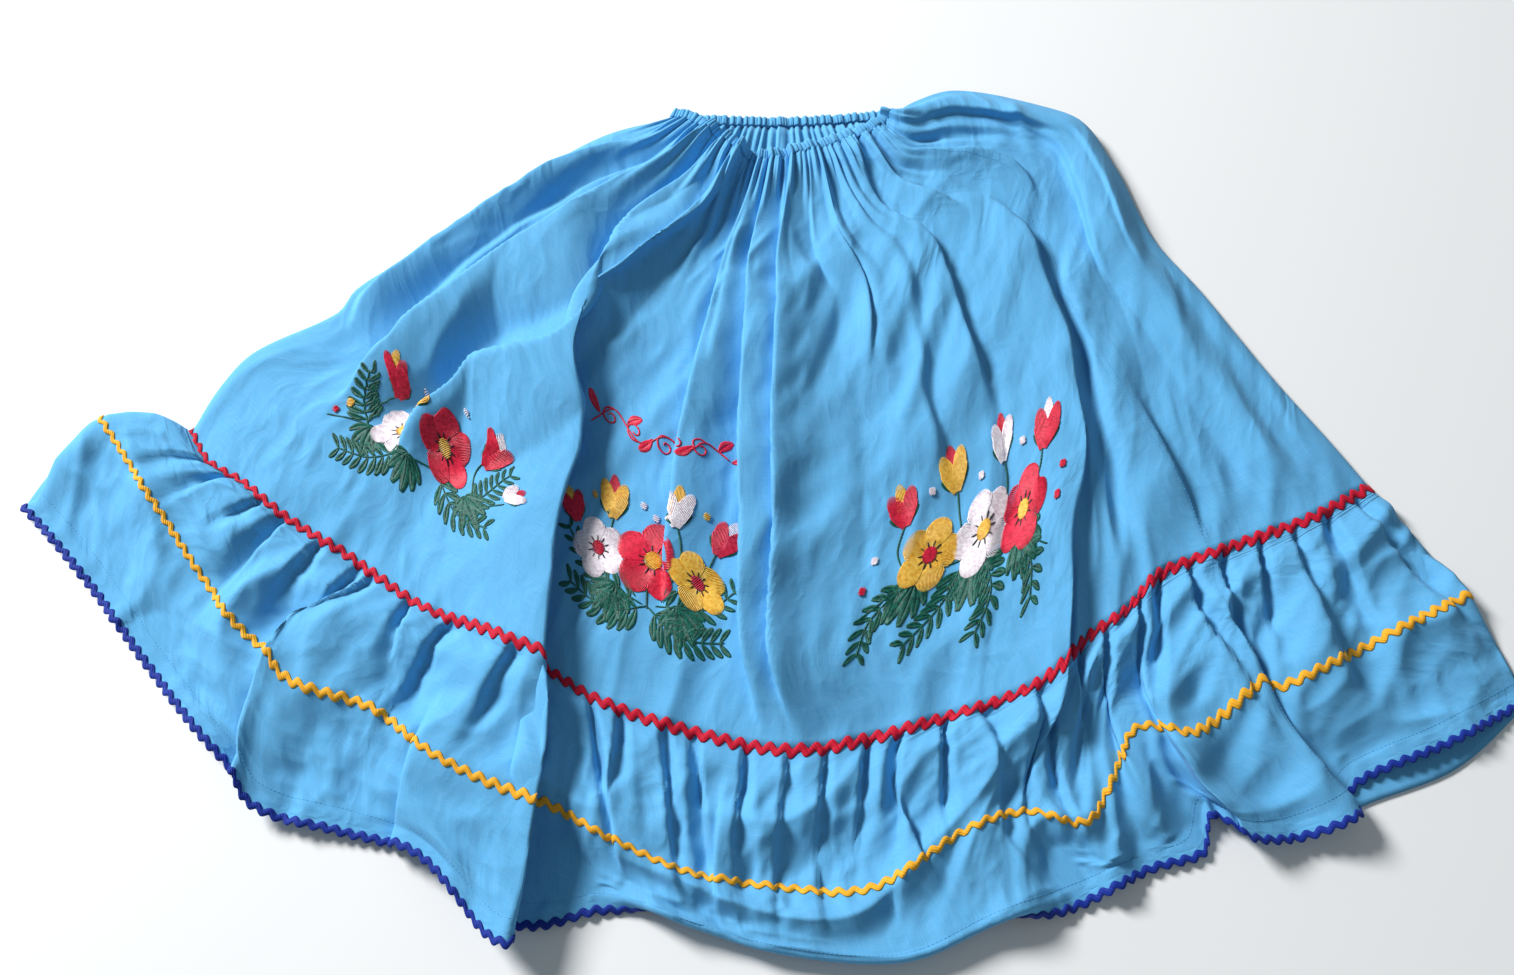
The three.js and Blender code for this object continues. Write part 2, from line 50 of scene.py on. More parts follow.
camera_data = bpy.data.cameras.new("camera")
camera_data.sensor_width = SENSOR_MM
camera_data.lens = SENSOR_MM * FOCAL_PIXELS / PHOTO_WIDTH
camera = bpy.data.objects.new("camera", camera_data)
camera.location = CAMERA_AT
camera.rotation_euler = (math.pi / 2 - LOOK_DOWN, 0, 0)
bpy.context.collection.objects.link(camera)
bpy.context.scene.camera = camera


# Surface and light
# A plain pale surface under the skirt, with a large soft light from the upper left and a weak
# one from the right, as in a studio.
SURFACE_SIZE = 12
SURFACE_DROP = 0.0004
SURFACE_COLOUR = (0.86, 0.86, 0.86, 1)
KEY = {"at": (-2.8, 2.0, 2.3), "size": 1.3, "watts": 285}
FILL = {"at": (1.5, -1.1, 1.7), "size": 2.4, "watts": 3}
SKY_COLOUR = (0.78, 0.93, 1, 1)
SKY_STRENGTH = 0.2


def new_material(name):
    material = bpy.data.materials.new(name)
    material.use_nodes = True
    nodes = material.node_tree.nodes
    return material, material.node_tree, nodes["Principled BSDF"]


def set_inputs(tree, node, inputs):
    """Gives each input of a node its value, or links it to the output given instead."""
    for socket, value in inputs.items():
        if isinstance(value, bpy.types.NodeSocket):
            tree.links.new(value, node.inputs[socket])
        else:
            node.inputs[socket].default_value = value


def add_node(tree, kind, inputs=None, **settings):
    node = tree.nodes.new("ShaderNode" + kind)
    for key, value in settings.items():
        setattr(node, key, value)
    set_inputs(tree, node, inputs or {})
    return node


def mesh_object(name, points, quads, material):
    """An object from an array of points and one of four-cornered faces."""
    points = np.asarray(points, float)
    quads = np.asarray(quads, int)
    mesh = bpy.data.meshes.new(name)
    mesh.vertices.add(len(points))
    mesh.vertices.foreach_set("co", points.ravel())
    mesh.loops.add(quads.size)
    mesh.loops.foreach_set("vertex_index", quads.ravel())
    mesh.polygons.add(len(quads))
    mesh.polygons.foreach_set("loop_start", np.arange(0, quads.size, 4))
    mesh.update(calc_edges=True)
    mesh.materials.append(material)
    obj = bpy.data.objects.new(name, mesh)
    bpy.context.collection.objects.link(obj)
    return obj


def soft_light(name, at, size, watts):
    data = bpy.data.lights.new(name, "AREA")
    data.shape = "DISK"
    data.size = size
    data.energy = watts
    light = bpy.data.objects.new(name, data)
    light.location = at
    aim = -light.location
    light.rotation_euler = aim.to_track_quat("-Z", "Y").to_euler()
    bpy.context.collection.objects.link(light)


surface_material, surface_tree, surface_shader = new_material("surface")
surface_noise = add_node(surface_tree, "TexNoise", {"Scale": 40}).outputs["Fac"]
surface_spread = {"Value": surface_noise, "To Min": 0.85, "To Max": 0.95}
surface_roughness = add_node(surface_tree, "MapRange", surface_spread).outputs["Result"]
set_inputs(surface_tree, surface_shader, {"Base Color": SURFACE_COLOUR, "Roughness": surface_roughness})
surface_corners = [
    (x * SURFACE_SIZE / 2, y * SURFACE_SIZE / 2, -SURFACE_DROP)
    for x, y in ((-1, -1), (1, -1), (1, 1), (-1, 1))
]
surface = mesh_object("surface", surface_corners, [(0, 1, 2, 3)], surface_material)

soft_light("key_light", **KEY)
soft_light("fill_light", **FILL)
world = bpy.data.worlds.new("sky")
world.use_nodes = True
sky = world.node_tree.nodes["Background"]
set_inputs(world.node_tree, sky, {"Color": SKY_COLOUR, "Strength": SKY_STRENGTH})
bpy.context.scene.world = world
bpy.context.scene.view_settings.view_transform = "Standard"


# Back of the body tier
# A flared panel of sky-blue plain-weave cotton that lies face down on the surface. Its top is
# drawn in by the casing and its side edges run into the side folds.
#
# Layout sizes are millimetres from the middle of the back waist. "down" is 0 at the casing's
# stitch line, 1 at the tier seam and 2 where the hem starts to turn, and "across" runs from 0 at
# the left side fold to 1 at the right one.
WAIST_MIDDLE = np.array([25.97, 344.21])
BODY_DEPTH = 520
RUFFLE_DEPTH = 195
CLOTH_THICKNESS = 0.5
COTTON = (0.15, 0.44, 0.74, 1)
COTTON_DEEP = (0.085, 0.37, 0.67, 1)
BACK_HEIGHT = 1.3
BACK_COLUMNS = 241
BACK_BODY_ROWS = 61
BACK_GATHERS = {"count": 34, "height": 5, "seed": 5, "longest": 0.3}
BACK_CREASES = {
    "count": 90, "seed": 9, "height": 1.4, "lengths": (30, 110), "half_widths": (5, 12),
    "downs": (0.1, 1.9),
}
BACK_CREASE_LIMIT = 0.8
BACK_WAIST = [(-98, -7), (-60, -9), (-10, -11), (45, -9), (102, -2)]
LEFT_SIDE = [
    (-98, -7), (-162, -25), (-246, -91), (-314, -151), (-358, -187), (-371, -211), (-434, -249),
    (-456, -282), (-471, -323),
]
RIGHT_SIDE = [
    (102, -2), (126, 16), (158, 30), (195, 26), (246, 8), (270, -4), (283, -20), (291, -40),
    (301, -66), (322, -136), (353, -187), (400, -273), (436, -332), (459, -372),
]
SIDE_REACH = {"down": [-0.1, 0, 0.05, 0.14, 0.35, 3.1], "power": [60, 60, 30, 10, 3, 3]}
SPAN = {"down": [0, 1, 1.5, 2], "mm": [285, 1060, 1260, 1327]}

# Radial sections of the ruffle: where each leaves the tier seam, crosses the yellow braid and
# ends at the hem, and how far the back hem lies inside the front one.
RUFFLE_SECTIONS = [
    ((-471, -323), (-540, -316), (-592, -390), 3), ((-450, -353), (-508, -356), (-556, -424), 6),
    ((-420, -371), (-474, -400), (-512, -470), 8), ((-385, -398), (-433, -453), (-472, -515), 8),
    ((-352, -418), (-398, -492), (-422, -566), 8), ((-331, -430), (-370, -512), (-380, -606), 10),
    ((-308, -446), (-345, -535), (-360, -626), 10), ((-268, -473), (-292, -552), (-310, -638), 8),
    ((-228, -490), (-244, -586), (-252, -654), 8), ((-191, -507), (-200, -606), (-208, -692), 14),
    ((-168, -524), (-163, -618), (-168, -700), 20), ((-132, -544), (-122, -640), (-122, -690), 20),
    ((-75, -563), (-70, -662), (-61, -709), 20), ((4, -580), (-4, -672), (2, -726), 20),
    ((60, -571), (57, -673), (78, -730), 20), ((120, -555), (120, -637), (140, -707), 20),
    ((165, -541), (165, -622), (200, -686), 10), ((199, -518), (205, -630), (250, -663), 10),
    ((225, -495), (228, -600), (288, -652), 10), ((255, -475), (250, -564), (297, -627), 10),
    ((283, -446), (291, -567), (330, -645), 10), ((330, -428), (338, -535), (385, -632), 4),
    ((365, -415), (362, -533), (404, -604), -12), ((407, -400), (430, -501), (470, -578), -14),
    ((459, -372), (511, -463), (540, -545), 2),
]


def smooth_step(low, high, value):
    part = np.clip((value - low) / (high - low), 0, 1)
    return part * part * (3 - 2 * part)


def mix(a, b, part):
    return a + (b - a) * part


def smooth_curve(knots, values):
    """A smooth curve through numbers at rising knots."""
    knots = np.asarray(knots, float)
    values = np.asarray(values, float)
    steps = np.arange(len(knots))
    before = np.maximum(steps - 1, 0)
    after = np.minimum(steps + 1, len(knots) - 1)
    slopes = (values[after] - values[before]) / (knots[after] - knots[before])

    def at(place):
        t = np.clip(place, knots[0], knots[-1])
        i = np.clip(np.searchsorted(knots, t, side="right") - 1, 0, len(knots) - 2)
        step = knots[i + 1] - knots[i]
        s = (t - knots[i]) / step
        bend = (1 - s) * step * slopes[i] - s * step * slopes[i + 1]
        rise = values[i + 1] - values[i]
        return values[i] + rise * s + s * (1 - s) * (bend + rise * (2 * s - 1))

    return at


def lengths_along(line):
    """The length of a line from its start to each of its points."""
    return np.concatenate([[0], np.cumsum(np.linalg.norm(np.diff(line, axis=0), axis=-1))])


def chord_knots(points):
    along = lengths_along(np.array(points, float))
    return along / along[-1]


def outline(points, knots=None):
    knots = chord_knots(points) if knots is None else knots
    x, y = (smooth_curve(knots, values) for values in zip(*points))
    return lambda place: np.stack([x(place), y(place)], axis=-1)


def depth_of(down):
    """Millimetres of cloth from the stitch line to a place down the skirt."""
    return np.where(down <= 1, down * BODY_DEPTH, BODY_DEPTH + (down - 1) * RUFFLE_DEPTH)


section_knots = chord_knots([row[0] for row in RUFFLE_SECTIONS])
seam_line, middle_line, hem_line = (
    outline([row[column] for row in RUFFLE_SECTIONS], section_knots) for column in range(3)
)
back_inset = smooth_curve(section_knots, [row[3] for row in RUFFLE_SECTIONS])
left_line = outline(LEFT_SIDE)
right_line = outline(RIGHT_SIDE)
back_waist_line = outline(BACK_WAIST)
side_power = smooth_curve(SIDE_REACH["down"], SIDE_REACH["power"])
span_at = smooth_curve(SPAN["down"], SPAN["mm"])


def body_plan(waist_line, across, down):
    """Plan of a body panel: straight from waist to seam, bowed near the sides to their outlines."""
    depth = down[..., None]

    def straight(place):
        return mix(waist_line(place), seam_line(place), depth)

    reach = side_power(down)
    left = left_line(down) - straight(np.zeros_like(across))
    right = right_line(down) - straight(np.ones_like(across))
    point = straight(across)
    return point + left * ((1 - across) ** reach)[..., None] + right * (across**reach)[..., None]


def cell_grid(across, down):
    """Matching arrays of across and down, a row for each down."""
    return np.meshgrid(np.asarray(across, float), np.asarray(down, float))


def bump(distance):
    """A smooth hump, 1 at distance 0 and 0 from distance 1 outwards."""
    return np.where(np.abs(distance) < 1, np.cos(np.clip(distance, -1, 1) * np.pi / 2) ** 2, 0)


# A fold's face falls by this power of the way down it, and this share of it isn't softened.
FACE_POWER = 1.7
FACE_SHARE = 0.8


def fold_profile(distance, left, right):
    """Section of a fold with a soft steep side and a face on its wider side that falls evenly."""
    part = np.where(distance < 0, distance / left, distance / right)
    on_face = (distance > 0) == (right > left)
    face = np.clip(1 - np.abs(part) ** FACE_POWER, 0, 1)
    soft = bump(part)
    return np.where(on_face, mix(soft, face, FACE_SHARE), soft)


# How much the gathers differ: place and width in shares of their spacing, drift and reach in
# shares of the layer, height in shares of the one given.
GATHER = {"place": 0.2, "drift": 0.03, "widths": (0.32, 0.75), "heights": (0.55, 1.15)}
SHORTEST_GATHER = 0.09


def gathers(across, down, count, height, seed, longest):
    """Uneven ridges that leave the waist and fade out at their own lengths."""
    rng = np.random.default_rng(seed)
    rise = np.zeros_like(across)
    for i in range(count):
        centre = (i + 0.5 + rng.uniform(-GATHER["place"], GATHER["place"])) / count
        reach = SHORTEST_GATHER + rng.uniform(0, 1) ** 3 * longest
        drift = rng.uniform(-GATHER["drift"], GATHER["drift"])
        left, right = rng.uniform(*GATHER["widths"], 2) / count
        fade = 1 - smooth_step(0.15 * reach, reach, down)
        start = mix(0.6, 1, smooth_step(0, 0.04, down))
        tall = height * rng.uniform(*GATHER["heights"]) * fade * start
        rise += tall * fold_profile(across - centre - drift * down, left, right)
    return rise


CREASE = {"turn": 0.32, "bend": 0.0015, "wider": (1.2, 2.6)}


def creases(across, down, count, seed, height, lengths, half_widths, downs):
    """Small straight creases at scattered places, most of them along the fall of the cloth."""
    rng = np.random.default_rng(seed)
    rise = np.zeros_like(across)
    for _ in range(count):
        centre_across = rng.uniform(0.02, 0.98)
        centre_down = rng.uniform(*downs)
        turn = rng.normal(0, CREASE["turn"])
        length = rng.uniform(*lengths)
        half = rng.uniform(*half_widths)
        tall = height * rng.uniform(-1, 1)
        x = (across - centre_across) * span_at(down)
        y = depth_of(down) - depth_of(centre_down)
        along = x * math.sin(turn) + y * math.cos(turn)
        aside = x * math.cos(turn) - y * math.sin(turn)
        aside = aside + CREASE["bend"] * along**2 * rng.uniform(-1, 1)
        wide = half * rng.uniform(*CREASE["wider"])
        left, right = (half, wide) if rng.uniform() < 0.5 else (wide, half)
        rise += tall * bump(along / length) * fold_profile(aside, left, right)
    return rise


def to_metres(plan, height):
    points = np.concatenate([plan + WAIST_MIDDLE, height[..., None]], axis=-1)
    return points / 1000


# Millimetres of cloth in one unit of the UVs.
UV_MM = 100


def cloth_lengths(points):
    """Millimetres along each row and down each column of a grid of points in metres."""
    across = np.linalg.norm(np.diff(points, axis=1), axis=-1) * 1000
    down = np.linalg.norm(np.diff(points, axis=0), axis=-1) * 1000
    rows, columns = points.shape[:2]
    along = np.concatenate([np.zeros((rows, 1)), np.cumsum(across, axis=1)], axis=1)
    fallen = np.concatenate([np.zeros((1, columns)), np.cumsum(down, axis=0)], axis=0)
    return along, fallen


def grid_quads(rows, columns):
    index = np.arange(rows * columns).reshape(rows, columns)
    corners = [index[1:, :-1], index[1:, 1:], index[:-1, 1:], index[:-1, :-1]]
    return np.stack(corners, axis=-1).reshape(-1, 4)


def finish_surface(obj, faces, lengths):
    """Smooth shading, and the lengths in the cloth as UVs."""
    layer = obj.data.uv_layers.new(name="cloth")
    layer.data.foreach_set("uv", (lengths[faces.reshape(-1)] / UV_MM).ravel())
    obj.data.polygons.foreach_set("use_smooth", np.ones(len(faces), bool))


def cloth_panel(name, points, material, thickness=CLOTH_THICKNESS):
    """A thin cotton shell through a grid of points, with its lengths in the cloth as UVs."""
    rows, columns = points.shape[:2]
    faces = grid_quads(rows, columns)
    obj = mesh_object(name, points.reshape(-1, 3), faces, material)
    along, fallen = cloth_lengths(points)
    along = along - along[:, [columns // 2]]
    finish_surface(obj, faces, np.stack([along, fallen], axis=-1).reshape(-1, 2))
    shell = obj.modifiers.new("shell", "SOLIDIFY")
    shell.thickness = thickness / 1000
    shell.offset = 0
    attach(obj, "root")
    return obj


def cloth_group(name, outputs):
    """A group that mixes two colours in, with its end nodes and the lengths in the cloth."""
    group = bpy.data.node_groups.new(name, "ShaderNodeTree")
    for socket in ("Light", "Deep"):
        group.interface.new_socket(socket, in_out="INPUT", socket_type="NodeSocketColor")
    for socket, kind in outputs.items():
        group.interface.new_socket(socket, in_out="OUTPUT", socket_type="NodeSocket" + kind)
    start = group.nodes.new("NodeGroupInput")
    end = group.nodes.new("NodeGroupOutput")
    uv = add_node(group, "UVMap", uv_map="cloth")
    return group, start.outputs, end, uv.outputs["UV"]


def mixed_shades(tree, part, shades):
    inputs = {"Factor": part, "A": shades["Deep"], "B": shades["Light"]}
    return add_node(tree, "Mix", inputs, data_type="RGBA").outputs["Result"]


def weave_group():
    """Colour, height and fine wrinkles of plain-weave cotton, from the cloth's own lengths."""
    outputs = {"Colour": "Color", "Weave": "Float", "Wrinkle": "Float"}
    group, shades, end, uv = cloth_group("plain_weave", outputs)

    def join(operation, a, b):
        return add_node(group, "Math", {0: a, 1: b}, operation=operation).outputs[0]

    def spread(value, *limits):
        inputs = dict(zip(("From Min", "From Max", "To Min", "To Max"), limits))
        return add_node(group, "MapRange", {"Value": value, **inputs}).outputs["Result"]

    def scaled(vector, scale):
        return add_node(group, "Mapping", {"Vector": vector, "Scale": scale}).outputs["Vector"]

    def threads(direction):
        inputs = {"Vector": uv, "Scale": 58, "Distortion": 1.2, "Detail Scale": 3}
        wave = add_node(group, "TexWave", inputs, wave_type="BANDS", bands_direction=direction)
        return wave.outputs["Fac"]

    def stretched_noise(scale):
        inputs = {"Vector": scaled(uv, scale), "Scale": 1, "Detail": 2, "Roughness": 0.5}
        return add_node(group, "TexNoise", inputs).outputs["Fac"]

    def facets(scale, height):
        """Flat facets that meet in creases, on lengths bent by noise."""
        bend = add_node(group, "TexNoise", {"Vector": uv, "Scale": 3}).outputs["Color"]
        bent = add_node(group, "Mix", {"Factor": 0.12, "A": uv, "B": bend}, data_type="VECTOR")
        inputs = {"Vector": scaled(bent.outputs["Result"], scale), "Scale": 1}
        cells = add_node(group, "TexVoronoi", inputs, voronoi_dimensions="2D", feature="F1")
        return join("MULTIPLY", cells.outputs["Distance"], height)

    slubs = join("ADD", stretched_noise((120, 5, 1)), stretched_noise((5, 120, 1)))
    creased = join("ADD", facets((4.2, 2.2, 1), 1), facets((9.5, 5.2, 1), 0.4))
    patches = spread(stretched_noise((1.3, 0.9, 1)), 0.35, 0.65, 0.25, 1)
    set_inputs(group, end, {
        "Colour": mixed_shades(group, spread(slubs, 0.7, 1.3, 0.15, 0.85), shades),
        "Weave": join("MAXIMUM", threads("X"), threads("Y")),
        "Wrinkle": join("MULTIPLY", creased, patches),
    })
    return group


plain_weave = weave_group()


def cotton_material(name, light, deep):
    material, tree, shader = new_material(name)
    weave = add_node(tree, "Group", {"Light": light, "Deep": deep}, node_tree=plain_weave).outputs
    wrinkle = {"Height": weave["Wrinkle"], "Strength": 0.8, "Distance": 0.0022}
    wrinkled = add_node(tree, "Bump", wrinkle).outputs["Normal"]
    threads = {"Height": weave["Weave"], "Strength": 0.35, "Distance": 0.00012, "Normal": wrinkled}
    set_inputs(tree, shader, {
        "Base Color": weave["Colour"],
        "Normal": add_node(tree, "Bump", threads).outputs["Normal"],
        "Roughness": 0.82,
        "Specular IOR Level": 0.14,
        "Sheen Weight": 0.06,
        "Sheen Roughness": 0.5,
    })
    return material


cotton = cotton_material("sky_cotton", COTTON, COTTON_DEEP)


def back_rise(across, down):
    """Relief of the back layer, which can only rise from the surface underneath."""
    rise = gathers(across, down, **BACK_GATHERS) * (1 - 0.9 * smooth_step(0.05, 0.17, down))
    rise += np.clip(creases(across, down, **BACK_CREASES), 0, BACK_CREASE_LIMIT)
    edge = smooth_step(0, 0.03, np.minimum(across, 1 - across))
    return rise * np.maximum(edge, 1 - smooth_step(0, 0.1, down))


back_columns = np.linspace(0, 1, BACK_COLUMNS)
back_downs = np.linspace(0, 1, BACK_BODY_ROWS)
back_across, back_down = cell_grid(back_columns, back_downs)
back_height = BACK_HEIGHT + back_rise(back_across, back_down)
back_points = to_metres(body_plan(back_waist_line, back_across, back_down), back_height)
back_body = cloth_panel("back_body_cloth", back_points, cotton)
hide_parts("back_body")


# Back of the ruffle tier
# A long straight strip of the same cotton, gathered to the lower edge of the back panel. Its hem
# is turned and lies a little inside the front one, except at the right where it shows.
BACK_PLEATS = 42
BACK_PLEAT_SHAPE = {"height": 4, "seed": 12}
PLEAT = {
    "steep": (2.6, 4.5), "gentle": (9, 17), "steep_left": 0.75, "reach": (0.35, 1.15),
    "drift": 0.025, "heights": (0.6, 1.15),
}
BACK_RUFFLE_ROWS = 41


def unit(vectors):
    return vectors / np.maximum(np.linalg.norm(vectors, axis=-1, keepdims=True), 1e-9)


def ruffle_plan(across, part, inset):
    """Plan of a ruffle: a parabola through seam, middle and hem of its section."""
    seam = seam_line(across)
    hem = hem_line(across)
    hem = hem - unit(hem - seam) * inset[..., None]
    p = part[..., None]
    return seam * (1 - p) * (1 - 2 * p) + middle_line(across) * 4 * p * (1 - p) + hem * p * (2 * p - 1)


def pleat_rise(across, down, centres, height, seed):
    """Gathers that leave the tier seam: valleys with one steep wall, between soft lumps."""
    rng = np.random.default_rng(seed)
    part = down - 1
    rise = 0.5 * height * smooth_step(0, 0.1, part) * (1 - smooth_step(0.3, 0.95, part))
    for centre in centres:
        steep, gentle = rng.uniform(*PLEAT["steep"]), rng.uniform(*PLEAT["gentle"])
        left, right = (steep, gentle) if rng.uniform() < PLEAT["steep_left"] else (gentle, steep)
        widen = 0.6 + 1.8 * part
        reach = rng.uniform(*PLEAT["reach"])
        drift = rng.uniform(-PLEAT["drift"], PLEAT["drift"]) * part
        along = smooth_step(-0.012, 0.05, part) * (1 - smooth_step(0.1 * reach, reach, part))
        deep = height * rng.uniform(*PLEAT["heights"]) * along
        rise -= deep * fold_profile((across - centre - drift) * span_at(down), left * widen, right * widen)
    return rise


back_pleats = (np.arange(BACK_PLEATS) + 0.5) / BACK_PLEATS
back_ruffle_downs = np.linspace(1, 2, BACK_RUFFLE_ROWS)
ruffle_across, ruffle_down = cell_grid(back_columns, back_ruffle_downs)
inset = back_inset(ruffle_across) * smooth_step(1, 2, ruffle_down)
back_ruffle_plan = ruffle_plan(ruffle_across, ruffle_down - 1, inset)
back_pleat_rise = pleat_rise(ruffle_across, ruffle_down, back_pleats, **BACK_PLEAT_SHAPE)
back_ruffle_height = BACK_HEIGHT + np.maximum(back_pleat_rise, 0)
back_ruffle_points = to_metres(back_ruffle_plan, back_ruffle_height)
back_ruffle = cloth_panel("back_ruffle_cloth", back_ruffle_points, cotton)
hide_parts("back_ruffle")


# Back of the casing
# The back panel's top edge, turned over a narrow elastic and stitched down. The elastic draws
# the cotton in to tight uneven ribs. Both casings are made here in the same way.
CASING_DEPTH = 9
CASING_THICKNESS = 1.6
CASING_SWELL = 0.8
CASING_RIBS = 74
CASING_ROWS = 9
RIB_POWER = 0.7
RIB_SLANT = 0.15
BACK_CASING = {
    "columns": 301, "lift": 0.4, "gathers": BACK_GATHERS | {"height": 3.6}, "ribs": 1.3,
    "sway": 0.8, "sway_rate": 23,
}


def casing_plan(waist_line, across, height):
    """Plan of a casing, square to its waist line."""
    step = 0.01
    along = unit(waist_line(np.minimum(across + step, 1)) - waist_line(np.maximum(across - step, 0)))
    square = np.stack([-along[..., 1], along[..., 0]], axis=-1)
    return waist_line(across) + square * height[..., None]


def casing_rise(across, part, shape):
    """The panel's gathers, and tight ribs with uneven spaces between them."""
    sway = shape["sway"] * np.sin(across * shape["sway_rate"])
    tight = np.abs(np.cos(np.pi * (across * CASING_RIBS + sway + RIB_SLANT * part)))
    return gathers(across, 0.02 * part, **shape["gathers"]) + shape["ribs"] * tight**RIB_POWER


def casing_points(waist_line, base, shape):
    """A puffed strip above the waist line. base gives its height at the stitch line."""
    across, part = cell_grid(np.linspace(0, 1, shape["columns"]), np.linspace(1, 0, CASING_ROWS))
    plan = casing_plan(waist_line, across, part * CASING_DEPTH)
    swell = CASING_SWELL * np.sin(np.pi * np.clip(part, 0, 1)) ** 0.6
    return to_metres(plan, base(across) + casing_rise(across, part, shape) + swell)


def back_casing_base(across):
    return np.full_like(across, BACK_HEIGHT + BACK_CASING["lift"])


back_casing_points = casing_points(back_waist_line, back_casing_base, BACK_CASING)
back_casing = cloth_panel("back_casing_cloth", back_casing_points, cotton, CASING_THICKNESS)
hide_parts("back_casing")


# Front of the body tier
# The flared front panel of the same cotton. Two long folds overlap the cloth beside them, the
# others are soft ridges that run from the gathered waist to the seam.
FRONT_WAIST = [
    (-98, -7), (-76, -17), (-58, -38), (-36, -56), (-12, -63), (14, -57), (44, -46), (74, -33),
    (94, -18), (102, -2),
]
OVERLAP_DOWN = [-0.1, 0, 0.2, 0.36, 0.5, 0.62, 0.75, 0.88, 1, 1.2, 1.5, 3.1]
OVERLAPS = {
    "left": [0.365, 0.365, 0.31, 0.26, 0.268, 0.298, 0.312, 0.33, 0.338, 0.345, 0.345, 0.343],
    "right": [0.76, 0.76, 0.825, 0.86, 0.856, 0.845, 0.81, 0.758, 0.718, 0.7, 0.69, 0.69],
}
# Folds: how far down each starts and ends, where across its crest runs at even steps between,
# then in millimetres its widths to the left and right of the crest, its height and how far the
# crest leans to the right. A trough has a height below 0.
FOLDS = [
    ("left side trough", 0.04, 0.74, [0.118, 0.07, 0.06, 0.07], 34, 9, -8, 0),
    ("left edge ridge", 0.02, 0.7, [0.06, 0.022, 0.018, 0.02], 14, 34, 15, -5),
    ("left upper ridge", -0.1, 0.82, [0.158, 0.125, 0.092, 0.078], 9, 36, 27, -16),
    ("left second ridge", -0.1, 0.86, [0.248, 0.2, 0.176, 0.152], 10, 44, 28, -16),
    ("left third ridge", -0.1, 0.5, [0.335, 0.29, 0.252, 0.222], 9, 26, 16, -11),
    ("left shoulder", -0.1, 0.46, [0.385, 0.335, 0.285, 0.25], 30, 12, 15, 12),
    ("left overlap", 0.22, 3.4, "left", 50, 24, 24, 42),
    ("left low trough", 0.55, 1.0, [0.2, 0.205, 0.215], 22, 22, -4, 0),
    ("inner left ridge", -0.1, 0.88, [0.395, 0.392, 0.4, 0.42], 9, 32, 14, -12),
    ("inner left crease", 0.06, 0.5, [0.418, 0.422, 0.43], 7, 9, 4, -3),
    ("centre left ridge", -0.1, 1.0, [0.437, 0.442, 0.468, 0.492], 7, 44, 16, -13),
    ("centre ridge", -0.1, 1.0, [0.523, 0.497, 0.508, 0.513], 7, 54, 16, -13),
    ("centre gather", -0.1, 0.36, [0.598, 0.586, 0.582], 10, 14, 9, -6),
    ("centre trough", 0.18, 0.9, [0.61, 0.568, 0.552, 0.542], 30, 30, -5, 0),
    ("centre right gather", -0.1, 0.5, [0.655, 0.63, 0.615], 18, 9, 10, 8),
    ("centre right ridge", -0.1, 0.72, [0.73, 0.688, 0.67, 0.665], 48, 15, 8, 4),
    ("right tip ridge", -0.1, 0.66, [0.82, 0.745, 0.735, 0.745], 44, 12, 11, 7),
    ("right tip gather", -0.1, 0.34, [0.87, 0.82, 0.79], 22, 8, 11, 8),
    ("right overlap", 0.22, 1.62, "right", 44, 22, 13, 30),
    ("right seam fold", -0.1, 0.4, [0.915, 0.902, 0.888], 22, 9, 10, 7),
    ("right top fold", -0.1, 0.34, [0.945, 0.96, 0.957], 7, 16, 15, -9),
    ("right top valley", 0.02, 0.3, [0.93, 0.938, 0.94], 12, 7, -8, 0),
    ("right shoulder", 0.14, 0.6, [0.968, 0.95, 0.928, 0.915], 8, 40, 8, -6),
    ("right shoulder crease", 0.2, 0.6, [0.985, 0.972, 0.957], 7, 22, 5, -3),
    ("right long ridge", 0.2, 1.05, [0.978, 0.962, 0.946, 0.942], 26, 24, 8, 0),
    ("right soft ridge", 0.42, 1.0, [0.9, 0.868, 0.84, 0.815], 18, 30, 7, -5),
    ("right crease", 0.5, 0.98, [0.885, 0.85, 0.822, 0.8], 12, 12, -4, 0),
    ("right low ridge", 0.7, 1.05, [0.88, 0.868, 0.858], 30, 12, 8, 6),
    ("left flap", 1.02, 3.4, [0.175, 0.163, 0.163, 0.17], 18, 34, 15, -24),
    ("left flap ridge", 1.02, 1.7, [0.215, 0.205, 0.21], 14, 26, 9, -6),
    ("small left step", 1.2, 3.4, [0.27, 0.268, 0.27], 12, 30, 9, -11),
    ("left tip ridge", 1.03, 1.8, [0.325, 0.322, 0.318], 12, 14, 10, -5),
    ("centre left flap", 1.05, 1.8, [0.385, 0.392, 0.4], 12, 24, 9, -7),
    ("centre flap", 1.05, 1.75, [0.475, 0.472, 0.468], 12, 26, 9, -7),
    ("centre right flap", 1.05, 1.7, [0.585, 0.6, 0.612], 26, 10, 9, 7),
    ("twisted ridge", 1.03, 1.8, [0.748, 0.766, 0.76, 0.745], 14, 20, 13, -11),
    ("notch flap", 1.1, 3.4, [0.79, 0.803, 0.8, 0.79], 16, 30, 13, -17),
    ("right step", 1.1, 3.4, [0.868, 0.874, 0.882, 0.89], 34, 16, 12, 17),
    ("right ruffle ridge", 1.03, 1.9, [0.93, 0.925, 0.93], 20, 14, 8, 4),
]
FOLD_FADE = 65
OVERLAP_FADE = 130
OVERLAP_CLOTH = 66
SIDE_FOLD_RADIUS = 34
LEAN_AT_CREST = 0.95
FRONT_GATHERS = {"count": 40, "height": 6.5, "seed": 3, "longest": 0.5}
FINE_GATHERS = {"count": 66, "height": 2.4, "seed": 13, "longest": 0.07}
